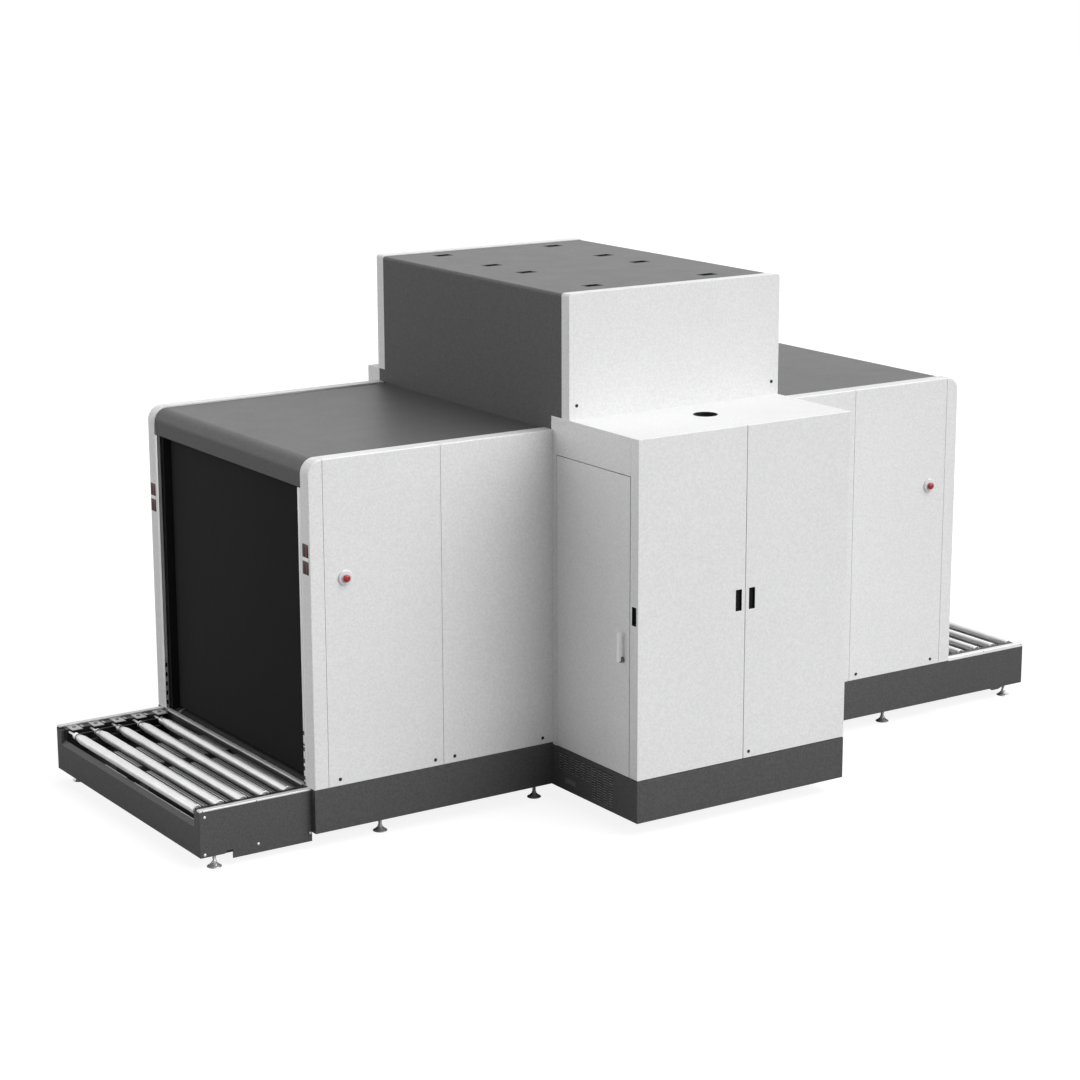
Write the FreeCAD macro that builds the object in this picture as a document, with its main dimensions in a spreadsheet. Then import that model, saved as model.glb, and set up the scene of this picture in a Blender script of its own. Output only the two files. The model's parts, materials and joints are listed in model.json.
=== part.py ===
# Baggage x-ray scanner with a conveyor tunnel, in millimetres.
# +Z is up, X runs along the conveyor and the cabinet stands on the -Y side.
# The pieces are laid out about the tunnel's centre line, on the floor, and then
# shifted so that the origin is in the middle of the whole machine's footprint.
import FreeCAD, Part
import Sketcher
import os
import re

doc = FreeCAD.newDocument("baggage_scanner")
sheet = doc.addObject("Spreadsheet::Sheet", "Dimensions")

SIZES = [
    # lengths along the conveyor
    ("cabinet_half", 790, "half the length of the middle block and of the cabinet"),
    ("housing_reach", 2470, "middle of the machine to the mouth of a housing"),
    ("conveyor_length", 730, "mouth to the outer end of a roller conveyor"),
    ("trim_width", 94, "edge strip at the mouth of a side wall"),
    ("seam", 3, "gap between two cover sheets"),
    # widths across, from the tunnel's centre line outwards
    ("tunnel_half", 900, "half the tunnel's width"),
    ("tunnel_wall", 60, "tunnel wall inside a housing"),
    ("side_thickness", 90, "side wall cover"),
    ("core_near_step", 15, "side wall's face to the cabinet's back"),
    ("core_far_step", 30, "side wall's face to the rear cover's back"),
    ("rear_cover_step", 120, "rear cover outside the side wall's face"),
    ("cabinet_depth", 910, "cabinet, front to back"),
    ("conveyor_side_step", 45, "side wall's face to a conveyor side plate"),
    # heights above the floor
    ("foot_gap", 86, "floor to the underside of the roller conveyors"),
    ("skirt_bottom", 103, "floor to the underside of the skirts"),
    ("plinth_bottom", 96, "floor to the underside of the cabinet plinth"),
    ("skirt_top", 373, "floor to the top of the skirts"),
    ("plinth_drop", 15, "skirt's top to the plinth's top"),
    ("belt_drop", 3, "skirt's top to the belt"),
    ("tunnel_height", 1801, "belt to the tunnel's ceiling and the visor's lower edge"),
    ("visor_height", 172, "visor's lower edge to the top of a side wall"),
    ("block_rise", 82, "top of a side wall to the top of the cabinet and middle block"),
    ("dome_height", 756, "upper housing"),
    # side walls and roofs
    ("corner_radius", 90, "rounded top corner of the side walls and the visor"),
    ("edge_round", 8, "small round on the outer edge of a cover sheet"),
    ("roof_drop", 8, "step from a side wall's rim in to the roof"),
    ("roof_sheet", 28, "roof and visor sheet"),
    ("cover_gap", 0.3, "gap between a roof and a side wall"),
    ("bolt_gap", 0.3, "gap between the middle block and a housing"),
    ("sill_depth", 30, "cross beam at the mouth, along the conveyor"),
    ("mouth_setback", 30, "mouth to the back of the light strips and the tunnel walls"),
    ("strip_thickness", 15, "light strip beside the mouth"),
    ("ceiling_setback", 180, "mouth to the front of the ceiling plate"),
    ("ceiling_thickness", 60, "tunnel ceiling plate"),
    ("lamp_width", 56, "indicator lamp"),
    ("lamp_height", 72, "indicator lamp"),
    ("lamp_gap", 30, "gap between two lamps"),
    ("lamp_depth", 4, "lamp proud of the edge strip"),
    ("lamp_low", 1672, "floor to the lower lamp"),
    ("lamps", 2, "lamps on one edge strip"),
    ("barrier_rise", 27, "skirt's top to the lowest light barrier window"),
    ("barrier_pitch", 62, "step of the light barrier windows"),
    ("barrier_height", 26, "light barrier window"),
    ("barrier_width", 12, "light barrier window"),
    ("barrier_depth", 6, "light barrier window's body"),
    ("barrier_windows", 5, "light barrier windows on one strip"),
    # middle block and upper housing
    ("core_front_gap", 0.3, "gap between the middle block and the cabinet"),
    ("dome_near_step", 195, "cabinet's back to the upper housing's near face"),
    ("dome_far_step", 10, "rear cover's back to the upper housing's far face"),
    ("dome_panel", 82, "upper housing end panel"),
    ("dome_drop", 6, "end panel's top edge above the shell"),
    ("dome_round", 18, "round on the upper housing's long edges"),
    ("hook_slot_length", 92, "lifting slot along the conveyor"),
    ("hook_slot_width", 58, "lifting slot across"),
    ("hook_slot_depth", 45, "lifting slot"),
    ("hook_side_inset", 355, "upper housing's side to a row of lifting slots"),
    ("hook_far_inset", 255, "upper housing's far face to the far slots"),
    ("hook_upper_inset", 855, "upper housing's far face to the second slots"),
    ("hook_lower_inset", 1005, "upper housing's near face to the third slots"),
    ("hook_near_inset", 275, "upper housing's near face to the near slots"),
    # cabinet
    ("cabinet_wall", 24, "cabinet wall"),
    ("cabinet_roof", 30, "cabinet top plate"),
    ("door_depth", 82, "front door leaf"),
    ("door_shell", 22, "front door sheet and its stiffener"),
    ("door_edge_wall", 41, "front door's outer edge"),
    ("door_gap", 5, "gap round a door"),
    ("side_door_gap", 6, "side door's free edge to the front door"),
    ("doorway_border", 60, "side door frame inside its leaf's edge"),
    ("side_door_header", 235, "top of the cabinet to the top of the side door"),
    ("side_door_thickness", 22, "side door leaf"),
    ("side_door_inset", 60, "cabinet's back to the side door's hinge edge"),
    ("handle_width", 46, "recessed handle"),
    ("handle_height", 132, "recessed handle"),
    ("handle_middle", 1363, "floor to the middle of the recessed handles"),
    ("handle_offset", 50, "door's meeting edge to the middle of a recessed handle"),
    ("handle_recess", 16, "depth of a recessed handle"),
    ("handle_lip", 5, "wall of a recessed handle"),
    ("side_grip_width", 44, "recessed grip in a door's outer edge"),
    ("side_grip_height", 114, "recessed grip in a door's outer edge"),
    ("side_grip_back", 19, "front face to the grip"),
    ("cable_hole", 150, "round hole in the cabinet's top"),
    ("cable_hole_offset", 492, "cabinet's back to the middle of the round hole"),
    ("lever_length", 168, "side door lever"),
    ("lever_width", 22, "side door lever"),
    ("lever_thickness", 16, "side door lever"),
    ("lever_standoff", 22, "side door to the lever"),
    ("lever_pivot_height", 1078, "floor to the lever's pivot"),
    ("lever_inset", 64, "side door's free edge to the lever"),
    ("lever_boss", 17, "radius of the lever's round base"),
    ("vent_slot_length", 40, "plinth vent slot"),
    ("vent_slot_height", 7, "plinth vent slot"),
    ("vent_slot_depth", 12, "plinth vent slot"),
    ("vent_back_margin", 80, "cabinet's back to the first vent column"),
    ("vent_front_margin", 250, "last vent column to the cabinet's front"),
    ("vent_low_margin", 34, "plinth's underside to the lowest vent slot"),
    ("vent_top_margin", 29, "highest vent slot to the plinth's top"),
    ("vent_columns", 10, "columns of vent slots"),
    ("vent_rows", 13, "rows of vent slots"),
    ("vent_short_columns", 6, "columns that have only the upper rows"),
    ("vent_short_start", 6, "rows missing at the foot of a short column"),
    # rear cover
    ("rear_plinth_inset", 6, "rear plinth behind the cover's face"),
    # belt conveyor
    ("belt_side_gap", 40, "tunnel wall to the belt's edge"),
    ("belt_thickness", 5, "belt"),
    ("belt_depth", 130, "height of the belt loop"),
    ("belt_end_gap", 12, "belt loop to the sill"),
    ("drum_gap", 0.3, "gap between a drum and the belt"),
    ("bed_depth", 90, "slider bed box"),
    ("bed_setback", 160, "belt end to the slider bed"),
    ("cross_beam", 90, "cross beam under the bed, along the conveyor"),
    ("cross_beam_inner_step", 210, "cabinet's end to the middle of an inner cross beam"),
    ("cross_beam_outer_inset", 520, "mouth to the middle of an outer cross beam"),
    ("bed_leg", 28, "upright that carries the slider bed"),
    # roller conveyors
    ("plate_thickness", 8, "conveyor side plate"),
    ("side_beam_width", 92, "conveyor side beam"),
    ("rail_cap_width", 40, "light cap on a conveyor side"),
    ("rail_cap_thickness", 11, "light cap on a conveyor side"),
    ("flap_setback", 210, "conveyor's outer end to the lower flap"),
    ("flap_drop", 37, "lower flap below the side plate"),
    ("notch_width", 38, "notch between the flap and the foot"),
    ("notch_height", 16, "notch between the flap and the foot"),
    ("end_plate_thickness", 24, "conveyor end plate"),
    ("end_plate_drop", 73, "side beam's top to the end plate's top"),
    ("end_lip", 56, "sloped lip of the end plate"),
    ("corner_post_width", 62, "post at the conveyor's outer corner"),
    ("corner_post_drop", 10, "side beam's top to the corner post's top"),
    ("roller_radius", 30, "conveyor roller"),
    ("roller_proud", 5, "top of the rollers above the belt"),
    ("rollers", 5, "rollers of one conveyor"),
    ("outer_roller_inset", 42, "conveyor's outer end to the outermost roller"),
    ("mouth_roller_inset", 96, "mouth to the nearest roller"),
    ("roller_far_setback", 160, "side beam to the rollers' tapered end"),
    ("roller_taper", 60, "length of the tapered end"),
    ("roller_end_radius", 22, "narrow end of the taper and belt wheel"),
    ("roller_end_gap", 6, "roller to the side beam"),
    ("wheel_length", 60, "belt wheel of a roller"),
    ("pin_half_width", 7, "roller pin, middle to a flat side"),
    ("pin_depth", 40, "how far a pin reaches into its side beam"),
    ("pin_clearance", 0.3, "clearance round a pin"),
    ("band_thickness", 4, "drive band"),
    ("band_width", 9, "drive band"),
    ("band_step", 22, "step between two drive bands on one roller"),
    ("tray_drop", 145, "rollers' centres to the conveyor's bottom tray"),
    ("tray_thickness", 8, "conveyor's bottom tray"),
    ("slat_rise", 7, "rollers' centres to the top of the slats"),
    ("slat_thickness", 6, "slat"),
    ("slat_gap", 13, "slat to the roller beside it"),
    ("slat_web", 8, "web under a slat"),
    ("slat_far_setback", 535, "side beam to the far end of the slats"),
    ("transfer_bar_thickness", 4, "bright bar at the mouth"),
    ("transfer_bar_depth", 22, "bright bar along the conveyor"),
    # curtains
    ("curtain_setback", 80, "mouth to the curtain"),
    ("curtain_thickness", 6, "curtain strip"),
    ("curtain_clearance", 12, "curtain to the belt and the tunnel walls"),
    ("curtain_strips", 8, "strips in a curtain"),
    ("curtain_strip_gap", 3, "gap between two strips"),
    ("curtain_hang_rise", 19, "visor's lower edge to the curtain's clamp bar"),
    ("curtain_bar", 18, "radius of the curtain's clamp bar"),
    ("curtain_pin", 9, "radius of the pins that the clamp bar turns on"),
    ("curtain_pin_depth", 30, "how far a pin reaches into the clamp bar"),
    # feet
    ("foot_radius", 44, "levelling foot"),
    ("foot_bell", 26, "height of the foot's bell"),
    ("foot_stem", 12, "foot's stem, middle to a flat side"),
    ("foot_neck", 17, "radius of the top of the bell"),
    ("foot_line_inset", 104, "side wall's face to a row of feet"),
    ("outer_foot_inset", 115, "conveyor's outer end to the outer feet"),
    ("middle_foot_inset", 495, "mouth to the middle feet"),
    ("inner_foot_step", 75, "cabinet's end to the inner feet"),
    ("cabinet_foot_inset", 300, "cabinet's end to the cabinet's feet"),
    ("cabinet_foot_setback", 405, "cabinet's front to the cabinet's feet"),
    # stop buttons
    ("button_radius", 23, "stop button's mushroom head"),
    ("button_height", 16, "stop button's mushroom head"),
    ("button_travel", 6, "stop button's stroke"),
    ("button_ring", 46, "radius of the stop button's base"),
    ("button_ring_depth", 10, "stop button's base"),
    ("button_stem", 11, "stop button's stem, middle to a flat side"),
    ("button_overlap", 1.5, "stem inside its base when released"),
    ("button_floor", 2, "base behind the stem's well"),
    ("button_inset", 232, "mouth to the stop buttons"),
    ("button_level", 1627, "floor to the stop buttons"),
    # loose fits
    ("seat_gap", 0.3, "gap between pieces that move past each other"),
]

NAMES = set()
for row, (alias, value, note) in enumerate(SIZES, start=1):
    sheet.set(f"A{row}", str(value))
    sheet.setAlias(f"A{row}", alias)
    sheet.set(f"B{row}", note)
    NAMES.add(alias)
doc.recompute()

# Places and sizes that follow from the ones above.
WORKED_OUT = {
    "conveyor_reach": "housing_reach + conveyor_length",
    "side_reach": "tunnel_half + tunnel_wall + side_thickness",
    "core_near_reach": "side_reach - core_near_step",
    "core_far_reach": "side_reach - core_far_step",
    "cabinet_reach": "core_near_reach + cabinet_depth",
    "rear_reach": "side_reach + rear_cover_step",
    "dome_near_reach": "core_near_reach + dome_near_step",
    "dome_far_reach": "core_far_reach + dome_far_step",
    "conveyor_side_reach": "side_reach - conveyor_side_step",
    "side_beam_reach": "conveyor_side_reach - plate_thickness - side_beam_width",
    "belt_top": "skirt_top - belt_drop",
    "plinth_top": "skirt_top - plinth_drop",
    "mouth_top": "skirt_top + transfer_bar_thickness",
    "ceiling_height": "belt_top + tunnel_height",
    "side_top": "ceiling_height + visor_height",
    "roof_top": "side_top - roof_drop",
    "block_top": "side_top + block_rise",
    "carcass_top": "block_top - cabinet_roof",
    "dome_top": "block_top + dome_height",
    "hook_row_far": "dome_far_reach - hook_far_inset",
    "hook_row_upper": "dome_far_reach - hook_upper_inset",
    "hook_row_lower": "dome_near_reach - hook_lower_inset",
    "hook_row_near": "dome_near_reach - hook_near_inset",
    "vent_column_pitch": "(cabinet_depth - vent_back_margin - vent_front_margin"
                         " - vent_slot_length) / (vent_columns - 1)",
    "vent_pitch": "(plinth_top - plinth_bottom - vent_low_margin - vent_top_margin"
                  " - vent_slot_height) / (vent_rows - 1)",
    "frame_front": "-(cabinet_reach - door_depth)",
    "side_door_edge": "frame_front + side_door_gap",
    "side_door_hinge": "-core_near_reach - side_door_inset",
    "side_door_top": "block_top - side_door_header",
    "conveyor_side_top": "skirt_top - rail_cap_thickness",
    "end_plate_top": "conveyor_side_top - end_plate_drop",
    "corner_post_top": "conveyor_side_top - corner_post_drop",
    "flap_start": "conveyor_reach - flap_setback",
    "flap_bottom": "foot_gap - flap_drop",
    "roller_height": "belt_top + roller_proud - roller_radius",
    "roller_pitch": "(conveyor_length - outer_roller_inset - mouth_roller_inset)"
                    " / (rollers - 1)",
    "first_roller": "conveyor_reach - outer_roller_inset",
    "roller_far_reach": "side_beam_reach - roller_far_setback",
    "tray_top": "roller_height - tray_drop",
    "slat_top": "roller_height + slat_rise",
    "slat_width": "roller_pitch - 2 * (roller_radius + slat_gap)",
    "mouth_slat_width": "mouth_roller_inset - roller_radius - slat_gap - seam",
    "slat_far_reach": "side_beam_reach - slat_far_setback",
    "curtain_middle": "housing_reach - curtain_setback",
    "curtain_hang": "ceiling_height + curtain_hang_rise",
    "foot_line": "side_reach - foot_line_inset",
    # the middle of the footprint lies this far from the tunnel's centre line
    "axis_shift": "(cabinet_reach - rear_reach) / 2",
}
ENDS = (("entrance", -1), ("exit", 1))
SIDES = (("near", -1), ("far", 1))
placed = {}
sub_parts = []


def bound(formula):
    """Turn the sizes named in a formula into references to their cells."""
    def reference(word):
        name = word.group()
        if name in WORKED_OUT:
            return "(" + bound(WORKED_OUT[name]) + ")"
        return "Dimensions." + name if name in NAMES else name
    return re.sub(r"[a-z][a-z_]+", reference, formula)


def number(formula):
    """The value of a formula in the sizes."""
    value = sheet.evalExpression(bound(formula))
    return float(getattr(value, "Value", value))


def count(name):
    """A size that counts like pieces."""
    return int(round(number(name)))


def bind(piece, **formulas):
    """Tie a piece's sizes to the sheet."""
    for name, formula in formulas.items():
        piece.setExpression(name, bound(formula))


def place(piece, x="0", y="0", z="0"):
    """Tie a piece's place to the sheet."""
    placed[piece.Name] = (x, y, z)
    for axis, formula in zip("xyz", (x, y, z)):
        piece.setExpression(f".Placement.Base.{axis}", bound(formula))


def mirrored(sign, near, far):
    """A span that reaches from near to far on the side that sign names."""
    if sign > 0:
        return (near, far)
    return (f"-({far})", f"-({near})")


def block(name, x, y, z):
    """A box between two limits on each axis."""
    piece = doc.addObject("Part::Box", name)
    bind(piece, Length=f"({x[1]}) - ({x[0]})", Width=f"({y[1]}) - ({y[0]})",
         Height=f"({z[1]}) - ({z[0]})")
    place(piece, x[0], y[0], z[0])
    return piece


TURNS = {
    "x": FreeCAD.Rotation(FreeCAD.Vector(0, 1, 0), 90),
    "y": FreeCAD.Rotation(FreeCAD.Vector(1, 0, 0), -90),
    "z": FreeCAD.Rotation(),
}


HALF_TURN = 180
HEXAGON = 6
TWELVE_SIDES = 12


def rod(name, axis, radius, start, length):
    """A round bar from a point along one axis."""
    piece = doc.addObject("Part::Cylinder", name)
    piece.Placement = FreeCAD.Placement(FreeCAD.Vector(), TURNS[axis])
    bind(piece, Radius=radius, Height=length)
    place(piece, *start)
    return piece


def prism(name, axis, sides, inner_radius, start, length):
    """A bar with flat sides, as far from its middle as a radius, along one axis."""
    piece = doc.addObject("Part::Prism", name)
    piece.Placement = FreeCAD.Placement(FreeCAD.Vector(), TURNS[axis])
    piece.Polygon = sides
    bind(piece, Circumradius=f"({inner_radius}) / cos({HALF_TURN / sides})", Height=length)
    place(piece, *start)
    return piece


def cone(name, axis, low_radius, high_radius, start, length):
    """A round taper from a point along one axis."""
    piece = doc.addObject("Part::Cone", name)
    piece.Placement = FreeCAD.Placement(FreeCAD.Vector(), TURNS[axis])
    bind(piece, Radius1=low_radius, Radius2=high_radius, Height=length)
    place(piece, *start)
    return piece


def fused(name, pieces):
    """Several forms joined into one solid."""
    piece = doc.addObject("Part::MultiFuse", name)
    piece.Shapes = pieces
    piece.Refine = True
    return piece


def grouped(name, pieces):
    """Several separate solids in one sub-part."""
    piece = doc.addObject("Part::Compound", name)
    piece.Links = pieces
    return piece


def cut(name, base, tools):
    """A form less one or more others."""
    piece = doc.addObject("Part::Cut", name)
    piece.Base = base
    piece.Tool = tools[0] if len(tools) == 1 else grouped(name + "_cutters", tools)
    piece.Refine = True
    return piece


def sub_part(piece, label):
    """Name a finished sub-part and shift it to the footprint's middle."""
    x, y, z = placed.get(piece.Name, ("0", "0", "0"))
    piece.Label = label
    place(piece, x, f"({y}) + axis_shift", z)
    sub_parts.append(piece)
    return piece


def origin_plane(body, role):
    """One of a body's own three planes."""
    for feature in body.Origin.OriginFeatures:
        if feature.Role == role:
            return feature
    raise ValueError("no such plane: " + role)


def outline(body, name, role, points):
    """A closed sketch of straight lines through points given as formulas."""
    sketch = body.newObject("Sketcher::SketchObject", name)
    sketch.AttachmentSupport = [(origin_plane(body, role), "")]
    sketch.MapMode = "FlatFace"
    corners = [FreeCAD.Vector(number(x), number(y), 0) for x, y in points]
    for index, corner in enumerate(corners):
        following = corners[(index + 1) % len(corners)]
        sketch.addGeometry(Part.LineSegment(corner, following), False)
    for index in range(len(corners)):
        following = (index + 1) % len(corners)
        sketch.addConstraint(Sketcher.Constraint("Coincident", index, 2, following, 1))
    for index, (x, y) in enumerate(points):
        for kind, formula, value in (("DistanceX", x, corners[index].x),
                                     ("DistanceY", y, corners[index].y)):
            number_given = sketch.addConstraint(
                Sketcher.Constraint(kind, -1, 1, index, 1, value))
            title = f"{'across' if kind == 'DistanceX' else 'up'}_{index + 1}"
            sketch.renameConstraint(number_given, title)
            sketch.setExpression("Constraints." + title, bound(formula))
    return sketch


def padded(name, role, points, length):
    """A body made of one outline raised by a length."""
    body = doc.addObject("PartDesign::Body", name)
    sketch = outline(body, name + "_outline", role, points)
    pad = body.newObject("PartDesign::Pad", name + "_pad")
    pad.Profile = sketch
    bind(pad, Length=length)
    doc.recompute()
    return body


def pocketed(body, name, role, points, depth, reverse=False):
    """Sink an outline into a body from one of its planes."""
    sketch = outline(body, name + "_outline", role, points)
    pocket = body.newObject("PartDesign::Pocket", name)
    pocket.Profile = sketch
    pocket.Reversed = reverse
    bind(pocket, Length=depth)
    doc.recompute()
    return pocket


def rounded(body, name, radius, test):
    """Round the edges of a body whose middle passes a test."""
    shape = body.Shape
    names = []
    for index, edge in enumerate(shape.Edges, start=1):
        middle = edge.CenterOfMass - body.Placement.Base
        if test(edge, middle):
            names.append(f"Edge{index}")
    base = body.Tip
    fillet = body.newObject("PartDesign::Fillet", name)
    fillet.Base = (base, names)
    bind(fillet, Radius=radius)
    doc.recompute()
    return fillet


def along(edge, axis):
    """Whether an edge is straight and runs along an axis."""
    if not isinstance(edge.Curve, Part.Line):
        return False
    return abs(abs(getattr(edge.Curve.Direction, axis)) - 1) < ANGLE_SLACK


def near(value, formula):
    """Whether a length is at the value of a formula."""
    return abs(value - number(formula)) < LENGTH_SLACK


ANGLE_SLACK = 0.001
LENGTH_SLACK = 0.05


# Skirts: dark beams under the side walls and the tunnel walls
beams = []
for end, way in ENDS:
    for side, hand in SIDES:
        beams.append(block(f"{end}_{side}_skirt_beam",
                           mirrored(way, "cabinet_half + bolt_gap", "housing_reach"),
                           mirrored(hand, "tunnel_half", "side_reach"),
                           ("skirt_bottom", "skirt_top")))
sub_part(grouped("skirt_set", beams), "base_skirts")

# Sills: cross beams that close the base at the mouths, with a bright bar on top
sills = []
bars = []
for end, way in ENDS:
    sills.append(block(f"{end}_sill_beam",
                       mirrored(way, "housing_reach - sill_depth", "housing_reach"),
                       ("-tunnel_half", "tunnel_half"), ("skirt_bottom", "skirt_top")))
    inner = "side_reach - side_thickness - strip_thickness"
    bars.append(block(f"{end}_transfer_strip",
                      mirrored(way, "housing_reach - transfer_bar_depth", "housing_reach"),
                      (f"-({inner})", inner), ("skirt_top", "mouth_top")))
sub_part(grouped("sill_set", sills), "mouth_sills")
sub_part(grouped("transfer_set", bars), "transfer_bars")


def side_cover(name, hand, low, high, arched):
    """A side wall sheet between two distances from the middle, with a soft rim."""
    cover = padded(name + "_body", "XZ_Plane",
                   [(low, "skirt_top"), (high, "skirt_top"), (high, "side_top"),
                    (low, "side_top")], "side_thickness")
    if arched:
        rounded(cover, name + "_arch", "corner_radius",
                lambda edge, middle: along(edge, "y")
                and near(abs(middle.x), "housing_reach") and near(middle.z, "side_top"))
    outer_face = "-side_thickness" if hand < 0 else "0"
    rounded(cover, name + "_rim", "edge_round",
            lambda edge, middle: near(middle.y, outer_face)
            and not near(middle.z, "skirt_top")
            and (near(middle.z, "side_top") or (arched and not near(middle.x, low))))
    place(cover, "0", mirrored(hand, "side_reach - side_thickness", "side_reach")[1], "0")
    return cover


# Edge trims: upright strips with a rounded top corner
trims = []
for end, way in ENDS:
    for side, hand in SIDES:
        trims.append(side_cover(f"{end}_{side}_trim", hand,
                                f"{way} * (housing_reach - trim_width)",
                                f"{way} * housing_reach", True))
sub_part(grouped("trim_set", trims), "edge_trims")

# Side wall covers: two sheets on each side of each housing
sheet_width = "(housing_reach - trim_width - cabinet_half) / 2"
sheet_spans = (("cabinet_half + bolt_gap", f"cabinet_half + {sheet_width} - seam / 2"),
               (f"cabinet_half + {sheet_width} + seam / 2",
                "housing_reach - trim_width - seam"))
for side, hand in SIDES:
    sheets = []
    for end, way in ENDS:
        for index, (low, high) in enumerate(sheet_spans, start=1):
            sheets.append(side_cover(f"{end}_{side}_sheet_{index}", hand,
                                     f"{way} * ({low})", f"{way} * ({high})", False))
    sub_part(grouped(f"{side}_sheet_set", sheets), f"{side}_side_panels")

# Roofs: dark sheets that curve down into a visor over each mouth
for end, way in ENDS:
    name = f"{end}_roof"
    brow = "(housing_reach - roof_drop)"
    roof = padded(name + "_body", "XZ_Plane",
                  [(f"{way} * (cabinet_half + bolt_gap)", "roof_top - roof_sheet"),
                   (f"{way} * ({brow} - roof_sheet)", "roof_top - roof_sheet"),
                   (f"{way} * ({brow} - roof_sheet)", "ceiling_height"),
                   (f"{way} * {brow}", "ceiling_height"),
                   (f"{way} * {brow}", "roof_top"),
                   (f"{way} * (cabinet_half + bolt_gap)", "roof_top")],
                  "2 * (side_reach - side_thickness - cover_gap)")
    rounded(roof, name + "_brow", "corner_radius - roof_drop",
            lambda edge, middle: along(edge, "y")
            and near(abs(middle.x), brow) and near(middle.z, "roof_top"))
    rounded(roof, name + "_brow_inside", "corner_radius - roof_drop - roof_sheet",
            lambda edge, middle: along(edge, "y")
            and near(abs(middle.x), f"{brow} - roof_sheet")
            and near(middle.z, "roof_top - roof_sheet"))
    place(roof, "0", "side_reach - side_thickness - cover_gap", "0")
    sub_part(roof, name)

# Tunnel walls and ceilings inside the housings, with pins for the curtains' bars
walls = []
ceilings = []
for end, way in ENDS:
    for side, hand in SIDES:
        name = f"{end}_{side}_tunnel_wall"
        front = "housing_reach - mouth_setback - bolt_gap"
        behind = "housing_reach - roof_drop - roof_sheet - seat_gap"
        bend = "housing_reach - corner_radius"
        wall = padded(name + "_body", "XZ_Plane",
                      [(f"{way} * (cabinet_half + bolt_gap)", "skirt_top"),
                       (f"{way} * ({front})", "skirt_top"),
                       (f"{way} * ({front})", "ceiling_height - seat_gap"),
                       (f"{way} * ({behind})", "ceiling_height - seat_gap"),
                       (f"{way} * ({behind})", "roof_top - corner_radius - roof_sheet"),
                       (f"{way} * ({bend})", "roof_top - roof_sheet"),
                       (f"{way} * (cabinet_half + bolt_gap)", "roof_top - roof_sheet")],
                      "tunnel_wall")
        place(wall, "0", mirrored(hand, "tunnel_half", "side_reach - side_thickness")[1], "0")
        reach = "curtain_clearance + curtain_pin_depth"
        pin = rod(name + "_pin", "y", "curtain_pin",
                  (f"{way} * curtain_middle",
                   mirrored(hand, f"tunnel_half - ({reach})", "tunnel_half + seam")[0],
                   "curtain_hang"), f"{reach} + seam")
        walls.append(fused(name, [wall, pin]))
    ceilings.append(block(f"{end}_ceiling_plate",
                          mirrored(way, "cabinet_half + bolt_gap", "housing_reach - ceiling_setback"),
                          ("-tunnel_half", "tunnel_half"),
                          ("ceiling_height", "ceiling_height + ceiling_thickness")))
sub_part(grouped("tunnel_wall_set", walls), "tunnel_walls")
sub_part(grouped("ceiling_set", ceilings), "tunnel_ceilings")

# Light strips beside each mouth, with light barrier windows, and indicator lamps
strips = []
windows = []
lamps = []
for end, way in ENDS:
    for side, hand in SIDES:
        inner = "side_reach - side_thickness - strip_thickness"
        strips.append(block(f"{end}_{side}_strip",
                            mirrored(way, "housing_reach - mouth_setback", "housing_reach"),
                            mirrored(hand, inner, "side_reach - side_thickness"),
                            ("mouth_top", "ceiling_height")))
        middle = "housing_reach - mouth_setback / 2"
        for index in range(count("barrier_windows")):
            low = f"skirt_top + barrier_rise + {index} * barrier_pitch"
            windows.append(block(f"{end}_{side}_barrier_{index + 1}",
                                 mirrored(way, f"{middle} - barrier_width / 2",
                                          f"{middle} + barrier_width / 2"),
                                 mirrored(hand, f"{inner} - barrier_depth", inner),
                                 (low, f"{low} + barrier_height")))
        for index in range(count("lamps")):
            low = f"lamp_low + {index} * (lamp_height + lamp_gap)"
            lamps.append(block(f"{end}_{side}_lamp_{index + 1}",
                               mirrored(way, "housing_reach", "housing_reach + lamp_depth"),
                               mirrored(hand, "side_reach - (side_thickness + lamp_width) / 2",
                                        "side_reach - (side_thickness - lamp_width) / 2"),
                               (low, f"{low} + lamp_height")))
sub_part(grouped("strip_set", strips), "mouth_strips")
sub_part(grouped("barrier_set", windows), "light_barriers")
sub_part(grouped("lamp_set", lamps), "indicator_lamps")

# Curtains: strips clamped in a bar that turns on the tunnel walls' pins
for end, way in ENDS:
    centre = f"{way} * curtain_middle"
    half = "(tunnel_half - curtain_clearance)"
    width = f"((2 * {half} + curtain_strip_gap) / curtain_strips)"
    pieces = [rod(f"{end}_curtain_clamp", "y", "curtain_bar",
                  (centre, f"-{half}", "curtain_hang"), f"2 * {half}")]
    for index in range(count("curtain_strips")):
        low = f"-{half} + {index} * {width}"
        pieces.append(block(f"{end}_curtain_strip_{index + 1}",
                            (f"{centre} - curtain_thickness / 2",
                             f"{centre} + curtain_thickness / 2"),
                            (low, f"{low} + {width} - curtain_strip_gap"),
                            ("mouth_top + curtain_clearance", "curtain_hang")))
    bores = []
    for side, hand in SIDES:
        bores.append(rod(f"{end}_{side}_curtain_bore", "y", "curtain_pin + pin_clearance",
                         (centre, mirrored(hand, f"{half} - curtain_pin_depth - seat_gap",
                                           f"{half} + seam")[0], "curtain_hang"),
                         "curtain_pin_depth + seat_gap + seam"))
    sub_part(cut(f"{end}_curtain_cut", fused(f"{end}_curtain_all", pieces), bores),
             f"{end}_curtain")

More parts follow.
